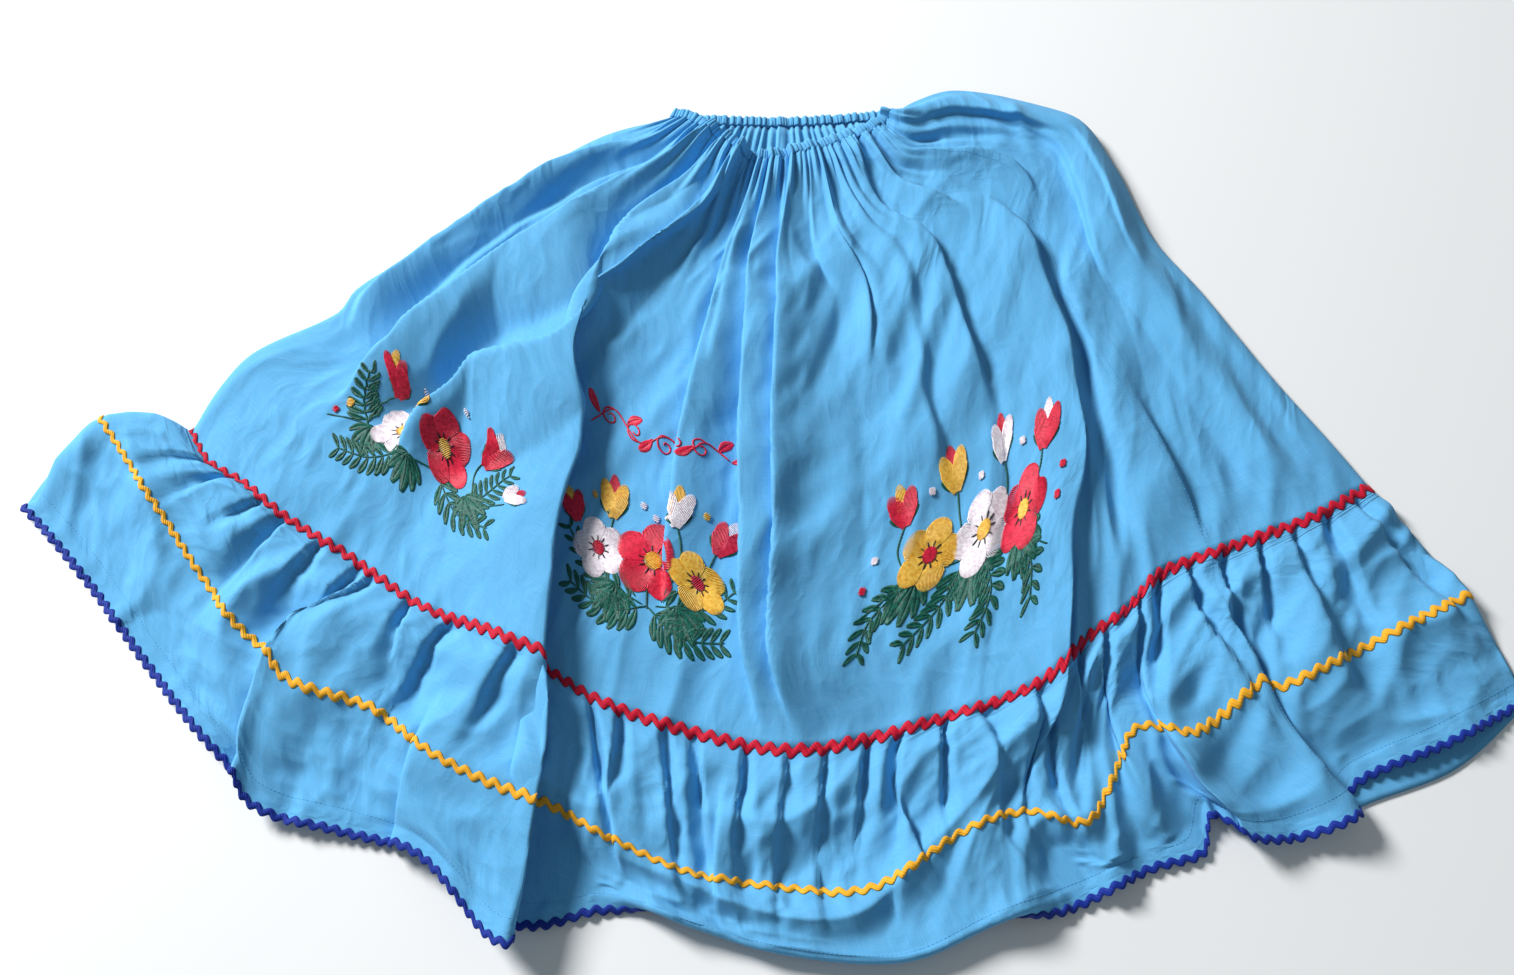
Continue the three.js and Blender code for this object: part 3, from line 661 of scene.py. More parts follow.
FINE_CREASES = {
    "count": 70, "seed": 21, "height": 1.6, "lengths": (14, 60), "half_widths": (3.5, 7),
    "downs": (0.1, 1.95),
}
LONG_CREASES = {
    "count": 60, "seed": 22, "height": 3.4, "lengths": (40, 130), "half_widths": (8, 17),
    "downs": (0.2, 1.9),
}
SIDE_HEIGHT = {"down": [-0.1, 0, 0.05, 0.14, 3.1], "mm": [8.2, 8.2, 6.5, 3.2, 3.2]}
CROWN_HEIGHT = {"down": [-0.1, 0, 0.2, 0.5, 1, 1.5, 2, 3.1], "mm": [5.5, 5.5, 9, 9, 7.5, 5, 1.8, 1.8]}
NOISE_CELLS = 64
CRUMPLE_BEND = {"reach": 26, "cell": 120, "seeds": (50, 51)}
FRONT_CRUMPLE = {"seed": 5, "octaves": [(80, 140, 3, 0), (44, 84, 2.6, 1), (20, 38, 1.2, 1)]}
SHOULDER = {"across": 0.95, "half_across": 0.11, "down": 0.14, "half_down": 0.24}
SHOULDER_CRUMPLE = {"seed": 11, "octaves": [(34, 170, 4.5, 1), (18, 120, 1, 1)]}
# Folds higher than the free height are pressed into the room over it.
FREE_HEIGHT = 26
FOLD_ROOM = 12
FRONT_COLUMNS = 481
EVEN_STEPS = 12
FRONT_ROWS = {"waist": 41, "body": 61, "ruffle": 84}
WAIST_END = 0.25

front_waist_line = outline(FRONT_WAIST)
side_rise = smooth_curve(SIDE_HEIGHT["down"], SIDE_HEIGHT["mm"])
crown_rise = smooth_curve(CROWN_HEIGHT["down"], CROWN_HEIGHT["mm"])
overlap_depth = depth_of(np.array(OVERLAP_DOWN))
overlap_paths = {side: smooth_curve(overlap_depth, path) for side, path in OVERLAPS.items()}


def fold_path(start, end, path):
    if isinstance(path, str):
        return lambda down: overlap_paths[path](depth_of(down))
    return smooth_curve(np.linspace(start, end, len(path)), path)


def fold_spread(down):
    """Folds are narrower near the waist."""
    return mix(0.5, 1, smooth_step(0, 0.55, down))


def fold_amount(start, end, fade, down):
    """How much of a fold is there: it grows and fades over some millimetres at its ends."""
    depth = depth_of(down)
    first, last = depth_of(np.array([start, end]))
    return smooth_step(first, first + fade, depth) * (1 - smooth_step(last - fade, last, depth))


def fold_shift(across, down):
    """Lean along the layer and rise in height that the folds give at each place."""
    lean_sum = np.zeros_like(across)
    rise_sum = np.zeros_like(across)
    span = span_at(down)
    spread = fold_spread(down)
    for _, start, end, path, left, right, height, lean in FOLDS:
        amount = fold_amount(start, end, OVERLAP_FADE if isinstance(path, str) else FOLD_FADE, down)
        leaning = lean * spread
        centre = fold_path(start, end, path)(down) - leaning * LEAN_AT_CREST / span
        hump = fold_profile((across - centre) * span, left * spread, right * spread) * amount
        lean_sum += leaning * smooth_step(-0.02, 0.2, down) * hump
        rise_sum += height * mix(0.1, 1, spread) * hump
    return lean_sum, rise_sum


def rows_across(places, down):
    """Where each column lies across at each down: columns run along the two overlaps."""

    def knots(at):
        reach = OVERLAP_CLOTH * fold_spread(at) / span_at(at)
        left = overlap_paths["left"](depth_of(at))
        right = overlap_paths["right"](depth_of(at))
        return [0, left - reach, left, right - reach, right, 1]

    seam_knots = knots(np.array(1.0))
    rows = []
    for at in down:
        aligned = np.interp(places, seam_knots, knots(np.array(at)))
        rows.append(mix(places, aligned, smooth_step(0, 0.3, at)))
    return np.array(rows)


def side_dome(across, down):
    """How far the layer has rounded up from its side folds: 0 at them and 1 away from them."""
    inward = np.minimum(across, 1 - across) * span_at(down)
    part = np.clip(inward / SIDE_FOLD_RADIUS, 0, 1)
    return np.sqrt(1 - (1 - part) ** 2)


def leaned(plan_at, across, down, lean):
    """Plan of the front layer with each point moved along its row by the folds' lean."""
    step = 0.002
    before = plan_at(np.clip(across - step, 0, 1), down)
    along = unit(plan_at(np.clip(across + step, 0, 1), down) - before)
    return plan_at(across, down) + along * lean[..., None]


def lattice_noise(x, y, seed):
    """Smooth noise from -1 to 1 with a cell of 1."""
    table = np.random.default_rng(seed).uniform(-1, 1, (NOISE_CELLS, NOISE_CELLS))
    i, j = np.floor(x).astype(int), np.floor(y).astype(int)
    s, t = x - i, y - j
    s, t = s * s * (3 - 2 * s), t * t * (3 - 2 * t)
    i, j = i % NOISE_CELLS, j % NOISE_CELLS
    k, m = (i + 1) % NOISE_CELLS, (j + 1) % NOISE_CELLS
    return mix(mix(table[i, j], table[k, j], s), mix(table[i, m], table[k, m], s), t)


def crumple(across, down, seed, octaves):
    """Soft lumps and, where sharp is 1, crumpled ridges between flat facets. Each octave is
    (width, length, height, sharp), with the length along the fall of the cloth."""
    x = across * np.sqrt(span_at(down) * SPAN["mm"][1])
    y = depth_of(down)
    cell = CRUMPLE_BEND["cell"]
    bend_x, bend_y = (
        CRUMPLE_BEND["reach"] * lattice_noise(x / cell, y / cell, seed + extra)
        for extra in CRUMPLE_BEND["seeds"]
    )
    rise = np.zeros_like(across)
    for i, (width, length, height, sharp) in enumerate(octaves):
        noise = lattice_noise((x + bend_x) / width, (y + bend_y) / length, seed + i)
        rise += height * mix(noise, 0.7 - 2 * np.abs(noise), sharp)
    return rise


def front_relief(across, down):
    """Small relief of the front: gathers at the waist and scattered creases."""
    rise = gathers(across, down, **FRONT_GATHERS)
    rise += gathers(across, down, **FINE_GATHERS)
    rise += creases(across, down, **FINE_CREASES)
    rise += creases(across, down, **LONG_CREASES)
    rise += smooth_step(0.03, 0.3, down) * crumple(across, down, **FRONT_CRUMPLE)
    shoulder = bump((across - SHOULDER["across"]) / SHOULDER["half_across"])
    shoulder = shoulder * bump((down - SHOULDER["down"]) / SHOULDER["half_down"])
    rise += shoulder * crumple(across, down, **SHOULDER_CRUMPLE)
    return rise * smooth_step(0, 0.02, np.minimum(across, 1 - across))


def front_height(across, down, rise):
    """Height of the front layer: above the back layer, and with folds that lie down as they rise."""
    height = side_rise(down) + crown_rise(down) * side_dome(across, down) + rise
    over = np.maximum(height - FREE_HEIGHT, 0)
    height = np.minimum(height, FREE_HEIGHT) + FOLD_ROOM * np.tanh(over / FOLD_ROOM)
    return np.maximum(height, side_rise(down))


def front_layout_plan(across, down):
    """Plan of the front panel without its folds."""
    return body_plan(front_waist_line, across, down)


def even_places(count):
    """Columns evenly spaced along the cloth of the tier seam, folds and all."""
    fine = np.linspace(0, 1, count * EVEN_STEPS)
    across = rows_across(fine, [1.0])
    down = np.ones_like(across)
    lean, fold = fold_shift(across, down)
    plan = leaned(front_layout_plan, across, down, lean)
    line = to_metres(plan, front_height(across, down, fold))[0]
    along = lengths_along(line)
    return np.interp(np.linspace(0, along[-1], count), along, fine)


front_places = even_places(FRONT_COLUMNS)
waist_downs = np.linspace(0, WAIST_END, FRONT_ROWS["waist"])
body_downs = np.concatenate([waist_downs[:-1], np.linspace(WAIST_END, 1, FRONT_ROWS["body"])])
body_across = rows_across(front_places, body_downs)
body_down = np.repeat(body_downs[:, None], FRONT_COLUMNS, axis=1)
body_lean, body_fold = fold_shift(body_across, body_down)
body_flat = leaned(front_layout_plan, body_across, body_down, body_lean)
body_z = front_height(body_across, body_down, body_fold + front_relief(body_across, body_down))
body_points = to_metres(body_flat, body_z)
front_body = cloth_panel("front_body_cloth", body_points, cotton)
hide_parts("front_body")


# Front of the casing
# The front panel's top edge, turned over the elastic. It sags between its ends, so that the back
# shows through the waist.
FRONT_CASING = {
    "columns": 601, "lift": 0.3, "gathers": FRONT_GATHERS | {"height": 2.2}, "ribs": 1.5,
    "sway": 0.7, "sway_rate": 29,
}


def front_casing_base(across):
    down = np.full_like(across, 0.0)
    return front_height(across, down, fold_shift(across, down)[1]) + FRONT_CASING["lift"]


front_casing_points = casing_points(front_waist_line, front_casing_base, FRONT_CASING)
front_casing = cloth_panel("front_casing_cloth", front_casing_points, cotton, CASING_THICKNESS)
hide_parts("front_casing")


# Front of the ruffle tier
# The front strip, gathered in uneven pleats to the panel's lower edge. Its hem is turned and
# stitched, and in the middle it has rolled under.
FRONT_PLEATS = [
    0.035, 0.06, 0.09, 0.115, 0.145, 0.18, 0.193, 0.23, 0.26, 0.285, 0.307, 0.375, 0.398, 0.43, 0.455,
    0.487, 0.517, 0.542, 0.57, 0.595, 0.625, 0.65, 0.672, 0.705, 0.735, 0.76, 0.795, 0.82, 0.843, 0.868,
    0.9, 0.927, 0.958, 0.98,
]
FRONT_PLEAT_SHAPE = {"height": 10, "seed": 31}
RUFFLE_CRUMPLE = {"seed": 41, "octaves": [(58, 74, 6.5, 1), (30, 38, 2.6, 1), (15, 20, 0.8, 1)]}
# Waves of the ruffle: height, number across, sway, the sway's rate and slant.
RUFFLE_WAVES = [(2.6, 13, 0.4, 17, 0), (0.5, 37, 0.8, 31, 0.3)]
HEM_ROLL = {"start": 0.37, "full": 0.46, "full_end": 0.6, "end": 0.68, "radius": 3.6, "depth": 24}
ROLL_LIFT = 2.4
# Past the lower row of the ruffle, the cloth turns, runs on flat and ends under the braid, inside
# the width of the plain solid's band.
FLAT_TURN = 4
FLAT_FLANGE = 2
CAD_BRAID = 8
BRAID_STRIP = 4.6
HEM_ROWS = {"turn": 9, "flange": 4, "strip": 4}


def front_ruffle_plan(across, down):
    tail = FLAT_TURN + FLAT_FLANGE + CAD_BRAID
    return ruffle_plan(across, down - 1, tail * smooth_step(1, 2, down))


def roll_part(across):
    """How much of the hem has rolled under, from 0 to 1."""
    opening = smooth_step(HEM_ROLL["start"], HEM_ROLL["full"], across)
    return opening * (1 - smooth_step(HEM_ROLL["full_end"], HEM_ROLL["end"], across))


def roll_angle(across):
    return np.pi * np.clip(roll_part(across) / 0.8, 0.001, 1)


def roll_flange(across):
    return mix(FLAT_FLANGE, HEM_ROLL["depth"], smooth_step(0.7, 1, roll_part(across)))


def roll_drop(across):
    """How far the rolled hem reaches down, which the ruffle above it is raised by."""
    angle = roll_angle(across)
    arc = HEM_ROLL["radius"] * (1 - np.cos(angle))
    flange = (roll_flange(across) + BRAID_STRIP) * np.maximum(np.sin(angle), 0)
    return arc + flange + ROLL_LIFT * smooth_step(0.2, 0.6, roll_part(across))


def ruffle_wave(across, down):
    """Soft waves that grow towards the hem."""
    strength = smooth_step(1.2, 1.6, down) * mix(1, 0.55, smooth_step(1.7, 2, down))
    rise = np.zeros_like(across)
    for height, count, sway, sway_rate, slant in RUFFLE_WAVES:
        turn = across * count + sway * np.sin(across * sway_rate) + slant * down
        rise += height * strength * (1 + np.cos(2 * np.pi * turn))
    return rise


def hem_tail(start, across):
    """Rows past the hem's start: the turn, the flange and the strip under the braid."""
    way = unit(hem_line(across) - seam_line(across))
    angle = roll_angle(across)
    arc = np.maximum(HEM_ROLL["radius"] * angle, FLAT_TURN)
    radius = arc / angle
    rows = []
    turns = [(part, 0, 0) for part in np.linspace(0, 1, HEM_ROWS["turn"])[1:]]
    flats = [(1, part, 0) for part in np.linspace(0, 1, HEM_ROWS["flange"])[1:]]
    strips = [(1, 1, part) for part in np.linspace(0, 1, HEM_ROWS["strip"])[1:]]
    for turn_part, flange_part, strip_part in turns + flats + strips:
        turn = angle * turn_part
        straight = roll_flange(across) * flange_part + BRAID_STRIP * strip_part
        out = radius * np.sin(turn) + straight * np.cos(turn)
        drop = radius * (1 - np.cos(turn)) + straight * np.sin(turn)
        plan = start[:, :2] * 1000 - WAIST_MIDDLE + way * out[:, None]
        rows.append(to_metres(plan, start[:, 2] * 1000 - drop))
    return np.array(rows)


ruffle_downs = np.linspace(1, 2, FRONT_ROWS["ruffle"])
ruffle_rows = rows_across(front_places, ruffle_downs)
ruffle_row_down = np.repeat(ruffle_downs[:, None], FRONT_COLUMNS, axis=1)
ruffle_lean, ruffle_fold = fold_shift(ruffle_rows, ruffle_row_down)
ruffle_relief = front_relief(ruffle_rows, ruffle_row_down)
ruffle_relief += pleat_rise(ruffle_rows, ruffle_row_down, FRONT_PLEATS, **FRONT_PLEAT_SHAPE)
ruffle_relief += ruffle_wave(ruffle_rows, ruffle_row_down)
ruffle_crumple = crumple(ruffle_rows, ruffle_row_down, **RUFFLE_CRUMPLE)
ruffle_relief += smooth_step(1.02, 1.2, ruffle_row_down) * ruffle_crumple
ruffle_relief *= 1 - 0.75 * roll_part(ruffle_rows) * smooth_step(1.6, 1.9, ruffle_row_down)
rolled = roll_drop(ruffle_rows) * smooth_step(1.3, 1.95, ruffle_row_down)
ruffle_z = front_height(ruffle_rows, ruffle_row_down, ruffle_fold + ruffle_relief + rolled)
ruffle_z = np.maximum(ruffle_z, side_rise(ruffle_row_down) + rolled)
ruffle_flat = leaned(front_ruffle_plan, ruffle_rows, ruffle_row_down, ruffle_lean)
ruffle_upper = to_metres(ruffle_flat, ruffle_z)
ruffle_points = np.concatenate([ruffle_upper, hem_tail(ruffle_upper[-1], ruffle_rows[-1])])
front_ruffle = cloth_panel("front_ruffle_cloth", ruffle_points, cotton)
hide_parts("front_ruffle")


# Wavy braids
# Three woven cotton ricracs, sewn flat along the middle of their waves: red over the tier seam,
# yellow half way down the ruffle and royal blue at the hem, where its scallops pass the edge.
RICRAC = {"pitch": 11, "swing": 2.2, "band": 5.4, "thick": 0.9, "lift": 0.45}
HEM_RICRAC = {"pitch": 9.6, "swing": 1.5, "band": 4.8, "thick": 0.9, "lift": 0.45}
PRESSED = {"thick": 0.6, "lift": 0.22}
RICRAC_STEPS = 8
BEND_POWER = 1.15
WAVER = {"turn": 0.12, "mm": 23}
HEM_BRAID_UP = 0.4
BACK_HEM_BRAID_UP = 5
RICRAC_SECTION = [(-1, 0.1), (-0.8, 0.8), (0, 1), (0.8, 0.8), (1, 0.1)]
BRAIDS = {
    "red": {"colour": (0.50, 0.002, 0.022, 1), "light": (0.64, 0.004, 0.035, 1)},
    "yellow": {"colour": (0.86, 0.38, 0.015, 1), "light": (0.95, 0.50, 0.04, 1)},
    "blue": {"colour": (0.003, 0.02, 0.24, 1), "light": (0.008, 0.04, 0.36, 1)},
}


def unit_normals(points):
    across = np.gradient(points, axis=1)
    down = np.gradient(points, axis=0)
    return unit(np.cross(across, -down))


def layer_of(points, depths, facing=1):
    """A grid of cloth with the normals of its outer face and the millimetres down to each row."""
    normals = unit_normals(points) * facing
    return {"points": points, "normals": normals, "depths": np.asarray(depths, float), "facing": facing}


def between(grid, row, column):
    """Values between the points of a grid."""
    rows, columns = grid.shape[:2]
    j = np.clip(row.astype(int), 0, rows - 2)
    i = np.clip(column.astype(int), 0, columns - 2)
    t = (row - j)[..., None]
    s = (column - i)[..., None]
    first = mix(grid[j, i], grid[j, i + 1], s)
    second = mix(grid[j + 1, i], grid[j + 1, i + 1], s)
    return mix(first, second, t)


def on_layer(layer, column, depth):
    """Points and normals of a layer, between its grid points and a little past its last row."""
    row = np.interp(depth, layer["depths"], np.arange(len(layer["depths"])))
    past = np.maximum(depth - layer["depths"][-1], 0)
    row = row + past / (layer["depths"][-1] - layer["depths"][-2])
    return between(layer["points"], row, column), unit(between(layer["normals"], row, column))


def line_lengths(layer, depth):
    """Millimetres of cloth along a line across a layer, at each of its columns."""
    columns = np.arange(layer["points"].shape[1], dtype=float)
    line, _ = on_layer(layer, columns, np.full(len(columns), float(depth)))
    return lengths_along(line) * 1000


def braid_weave_group():
    """Colour and height of the slanting threads of a narrow woven braid."""
    group, shades, end, uv = cloth_group("braid_weave", {"Colour": "Color", "Height": "Float"})
    inputs = {"Vector": uv, "Scale": 22, "Distortion": 1.5}
    wave = add_node(group, "TexWave", inputs, wave_type="BANDS", bands_direction="DIAGONAL").outputs["Fac"]
    noise = add_node(group, "TexNoise", {"Vector": uv, "Scale": 60}).outputs["Fac"]
    part = add_node(group, "Math", {0: wave, 1: noise}, operation="MULTIPLY").outputs[0]
    set_inputs(group, end, {"Colour": mixed_shades(group, part, shades), "Height": wave})
    return group


braid_weave = braid_weave_group()


def braid_material(name, colour, light):
    material, tree, shader = new_material(name)
    weave = add_node(tree, "Group", {"Light": light, "Deep": colour}, node_tree=braid_weave).outputs
    relief = {"Height": weave["Height"], "Strength": 0.6, "Distance": 0.0003}
    set_inputs(tree, shader, {
        "Base Color": weave["Colour"],
        "Normal": add_node(tree, "Bump", relief).outputs["Normal"],
        "Roughness": 0.7,
        "Specular IOR Level": 0.25,
        "Sheen Weight": 0.04,
    })
    return material


def ricrac(name, layer, depth, colour, shape):
    """A wavy braid along one depth of a layer. Its outer bends are round and its inner ones tight."""
    lengths = line_lengths(layer, depth)
    along = np.arange(0, lengths[-1], shape["pitch"] / RICRAC_STEPS)
    column = np.interp(along, lengths, np.arange(len(lengths)))
    turn = np.pi * along / shape["pitch"] + WAVER["turn"] * np.sin(along / WAVER["mm"])
    swing = shape["swing"]
    upper = swing * (2 * np.abs(np.cos(turn)) ** BEND_POWER - 1) + shape["band"] / 2
    lower = swing * (1 - 2 * np.abs(np.sin(turn)) ** BEND_POWER) - shape["band"] / 2
    rings = []
    sides = []
    for side, height in RICRAC_SECTION:
        aside = mix(lower, upper, (side + 1) / 2)
        point, normal = on_layer(layer, column, depth - aside)
        rings.append(point + normal * (shape["lift"] + height * shape["thick"]) / 1000)
        sides.append(np.stack([along, aside], axis=-1))
    rings.append(rings[0])
    sides.append(sides[0])
    points = np.array(rings)
    rows, columns = points.shape[:2]
    faces = grid_quads(rows, columns)[:, :: -layer["facing"]]
    last = (rows - 1) * columns
    faces = np.where(faces >= last, faces - last, faces)
    obj = mesh_object(name, points[:-1].reshape(-1, 3), faces, braid_material(name, **BRAIDS[colour]))
    finish_surface(obj, faces, np.array(sides[:-1]).reshape(-1, 2))
    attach(obj, "root")
    return obj


hem_depths = []
hem_reach = {"turn": FLAT_TURN, "flange": FLAT_FLANGE, "strip": BRAID_STRIP}
tail_start = BODY_DEPTH + RUFFLE_DEPTH
for part, count in HEM_ROWS.items():
    for step in range(1, count):
        hem_depths.append(tail_start + hem_reach[part] * step / (count - 1))
    tail_start += hem_reach[part]
front_layer = layer_of(
    np.concatenate([body_points, ruffle_points[1:]]),
    np.concatenate([depth_of(body_downs), depth_of(ruffle_downs[1:]), hem_depths]),
)
middle_depth = BODY_DEPTH + RUFFLE_DEPTH / 2
red_braid = ricrac("seam_ricrac_red", front_layer, BODY_DEPTH, "red", RICRAC)
yellow_braid = ricrac("middle_ricrac_yellow", front_layer, middle_depth, "yellow", RICRAC)
hem_braid_depth = front_layer["depths"][-1] - HEM_BRAID_UP
blue_braid = ricrac("hem_ricrac_blue", front_layer, hem_braid_depth, "blue", HEM_RICRAC)
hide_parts("seam_braid_red")
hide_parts("middle_braid_yellow")
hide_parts("hem_braid_blue")

# The back has the same braids on its outer face, pressed flat between the cloth and the surface.
back_layer = layer_of(
    np.concatenate([back_points, back_ruffle_points[1:]]),
    np.concatenate([depth_of(back_downs), depth_of(back_ruffle_downs[1:])]),
    facing=-1,
)
back_seam_braid = ricrac("back_seam_ricrac_red", back_layer, BODY_DEPTH, "red", RICRAC | PRESSED)
back_middle_braid = ricrac(
    "back_middle_ricrac_yellow", back_layer, middle_depth, "yellow", RICRAC | PRESSED
)
back_hem_depth = back_layer["depths"][-1] - BACK_HEM_BRAID_UP
back_hem_braid = ricrac("back_hem_ricrac_blue", back_layer, back_hem_depth, "blue", HEM_RICRAC | PRESSED)


# Embroidery
# Satin and stem stitches in shiny thread on the lower half of the front panel: three bunches of
# folk flowers and a red scroll of leaves. They were worked on the flat cloth and fold with it.
THREAD_STEPS = 5
THREAD_GAP = 1.05
SATIN = {"width": 1.25, "height": 0.75}
THREADS = {
    "red": {"light": (0.80, 0.02, 0.07, 1), "deep": (0.52, 0.003, 0.025, 1)},
    "gold": {"light": (0.95, 0.60, 0.10, 1), "deep": (0.78, 0.36, 0.02, 1)},
    "white": {"light": (0.95, 0.90, 0.94, 1), "deep": (0.76, 0.62, 0.70, 1)},
    "green": {"light": (0.004, 0.13, 0.09, 1), "deep": (0.001, 0.045, 0.03, 1)},
    "black": {"light": (0.02, 0.02, 0.025, 1), "deep": (0.004, 0.004, 0.006, 1)},
}
stitches = {colour: [] for colour in THREADS}


def draw(colour, lines, lift=0.0):
    """Keeps threads drawn on a patch, and how far they are raised over those underneath."""
    stitches[colour].append(np.dstack([lines, np.full(lines.shape[:2], lift)]))


def turned(points, angle, at):
    """Points turned by an angle in degrees and moved to a place."""
    c, s = math.cos(math.radians(angle)), math.sin(math.radians(angle))
    x, y = points[..., 0], points[..., 1]
    return np.stack([x * c - y * s + at[0], x * s + y * c + at[1]], axis=-1)


def curve_through(a, b, c):
    """Quadratic curves with ends a and c that pull towards b, THREAD_STEPS points on each."""
    t = np.linspace(0, 1, THREAD_STEPS)[:, None]
    return (1 - t) ** 2 * a[:, None] + 2 * t * (1 - t) * b[:, None] + t**2 * c[:, None]


def pairs(x, y):
    return np.stack(np.broadcast_arrays(np.asarray(x, float), np.asarray(y, float)), axis=-1)


def petal(colour, at, angle, length, width, foot=0.3, lift=0.45):
    """A round petal of threads that fan out from its foot."""
    u = np.linspace(-1, 1, max(int(width / THREAD_GAP), 3))
    tip = length * (0.66 + 0.34 * np.sqrt(np.maximum(1 - u**2, 0)))
    a = pairs(0, u * width * foot / 2)
    b = pairs(length * 0.55, u * width * 0.62)
    c = pairs(tip, u * width * 0.42)
    draw(colour, turned(curve_through(a, b, c), angle, at), lift)


def leaf(colour, at, angle, length, width, bend=0):
    """A pointed leaf of slanting threads on both sides of its midrib."""
    t = np.linspace(0.02, 0.93, max(int(length / THREAD_GAP), 4))
    rib = pairs(length * t, bend * np.sin(np.pi * t))
    half = width / 2 * np.sin(np.pi * np.minimum(t + 0.1, 1)) ** 0.8
    for side in (-1, 1):
        reach = np.minimum(t + 0.2, 1)
        edge = pairs(length * reach, bend * np.sin(np.pi * reach) + side * half)
        draw(colour, turned(curve_through(rib, (rib + edge) / 2, edge), angle, at))


def knot(colour, at, size):
    """A round dot of parallel threads."""
    v = np.linspace(-0.9, 0.9, max(int(size / THREAD_GAP), 3)) * size / 2
    half = np.sqrt((size / 2) ** 2 - v**2)
    ends = pairs(-half, v), pairs(half * 0, v), pairs(half, v)
    draw(colour, turned(curve_through(*ends), 40, at), 0.8)


def stem(colour, points, stitch=4.6, step=2.3):
    """Slightly slanting overlapped stitches along a smooth line."""
    line = outline(points)(np.linspace(0, 1, 200))
    along = lengths_along(line)
    starts = np.arange(0, max(along[-1] - stitch, step), step)
    places = starts[:, None] + np.linspace(0, stitch, THREAD_STEPS)
    x = np.interp(places, along, line[:, 0])
    y = np.interp(places, along, line[:, 1])
    slant = np.linspace(-0.45, 0.45, THREAD_STEPS)
    dx = np.gradient(x, axis=1)
    dy = np.gradient(y, axis=1)
    size = np.hypot(dx, dy) + 1e-9
    draw(colour, np.stack([x - slant * dy / size, y + slant * dx / size], axis=-1), 0.1)


def stamens(colour, at, count, inner, outer):
    """Short threads that point outwards round a heart."""
    angles = np.arange(count) * 360 / count
    line = pairs(np.linspace(inner, outer, THREAD_STEPS), 0)
    draw(colour, np.array([turned(line, angle, at) for angle in angles]), 0.75)


def blossom(at, size, colour, heart, turn=0, petals=5):
    """An open flower with stamens round a raised heart."""
    for i in range(petals):
        angle = turn + 360 * i / petals
        foot = turned(np.array([size * 0.12, 0.0]), angle, at)
        petal(colour, foot, angle, size * 0.45, size * 0.5, lift=0.35 + 0.25 * (i % 2))
    stamens("black", at, 2 * petals, size * 0.12, size * 0.23)
    knot(heart, at, size * 0.26)


def bud(at, angle, size, colour, tip):
    """A tulip-like bud with two side petals, a tip and a green cup."""
    petal(tip, at, angle, size * 1.02, size * 0.34, lift=0.15)
    for side in (-1, 1):
        petal(colour, at, angle + side * 19, size * 0.9, size * 0.4, 0.45, lift=0.6)
        leaf("green", at, angle + side * 46, size * 0.5, size * 0.17)


def leaf_fan(at, angle, count, length, opening=110):
    """Broad green leaves that open from one place, the middle ones longest."""
    for i in range(count):
        part = 2 * i / (count - 1) - 1
        reach = length * (1 - 0.3 * abs(part))
        leaf("green", at, angle + part * opening / 2, reach, reach * 0.32, part * 2)


def spray(points, leaf_length, count, spread=48):
    """A green stem with pairs of narrow leaves that get shorter to its tip."""
    stem("green", points)
    line = outline(points)
    for i in range(count):
        part = 0.12 + 0.82 * i / (count - 1)
        at = line(part)
        ahead = line(min(part + 0.03, 1)) - line(part - 0.03)
        angle = math.degrees(math.atan2(ahead[1], ahead[0]))
        length = leaf_length * (1 - 0.4 * part)
        for side in (-1, 1):
            leaf("green", at, angle + side * spread, length, length * 0.34, side * length * 0.05)


def scroll(colour, at, angle, size, side=1):
    """A curl that winds in by a turn and a third."""
    turn = np.linspace(0, 2.7 * np.pi, 15)
    radius = size * (1 - turn / (3.2 * np.pi))
    points = np.stack([radius * np.cos(turn) - size, side * radius * np.sin(turn)], axis=-1)
    stem(colour, [tuple(point) for point in turned(points, angle, at)])


class Patch:
    """A flat piece of the front panel, round one of its columns, that the stitches are drawn on."""

    step = 2.0

    def __init__(self, across, down, half_width, half_height):
        rows = np.arange(-half_height, half_height + self.step, self.step)
        self.x = np.arange(-half_width, half_width + self.step, self.step)
        self.y = rows
        depth = down * BODY_DEPTH - rows
        middle = np.interp(down, body_downs, np.arange(len(body_downs)))
        column = np.interp(across, body_across[int(round(middle))], np.arange(FRONT_COLUMNS))
        columns = np.linspace(0, FRONT_COLUMNS - 1, FRONT_COLUMNS * 4)
        points = []
        normals = []
        for each in depth:
            line, normal = on_layer(front_layer, columns, np.full(len(columns), each))
            along = lengths_along(line) * 1000
            places = self.x + np.interp(column, columns, along)
            points.append([np.interp(places, along, axis) for axis in line.T])
            normals.append([np.interp(places, along, axis) for axis in normal.T])
        self.points = np.moveaxis(np.array(points), 1, -1)
        self.normals = np.moveaxis(np.array(normals), 1, -1)

    def at(self, places):
        """Points and normals of the cloth at places on the patch, in millimetres."""
        column = np.clip((places[..., 0] - self.x[0]) / self.step, 0, len(self.x) - 1.001)
        row = np.clip((places[..., 1] - self.y[0]) / self.step, 0, len(self.y) - 1.001)
        normals = unit(between(self.normals, row, column))
        return between(self.points, row, column) + normals * places[..., 2:] / 1000, normals


THREAD_SECTION = np.radians([0, 60, 120, 180])
THREAD_ENDS = np.array([0.45, 1, 1, 1, 0.45])
# Threads stand this share of the cloth's thickness above its middle.
THREAD_FOOT = 0.4
# Threads are spread over this many places of the UVs.
UV_THREADS = 97


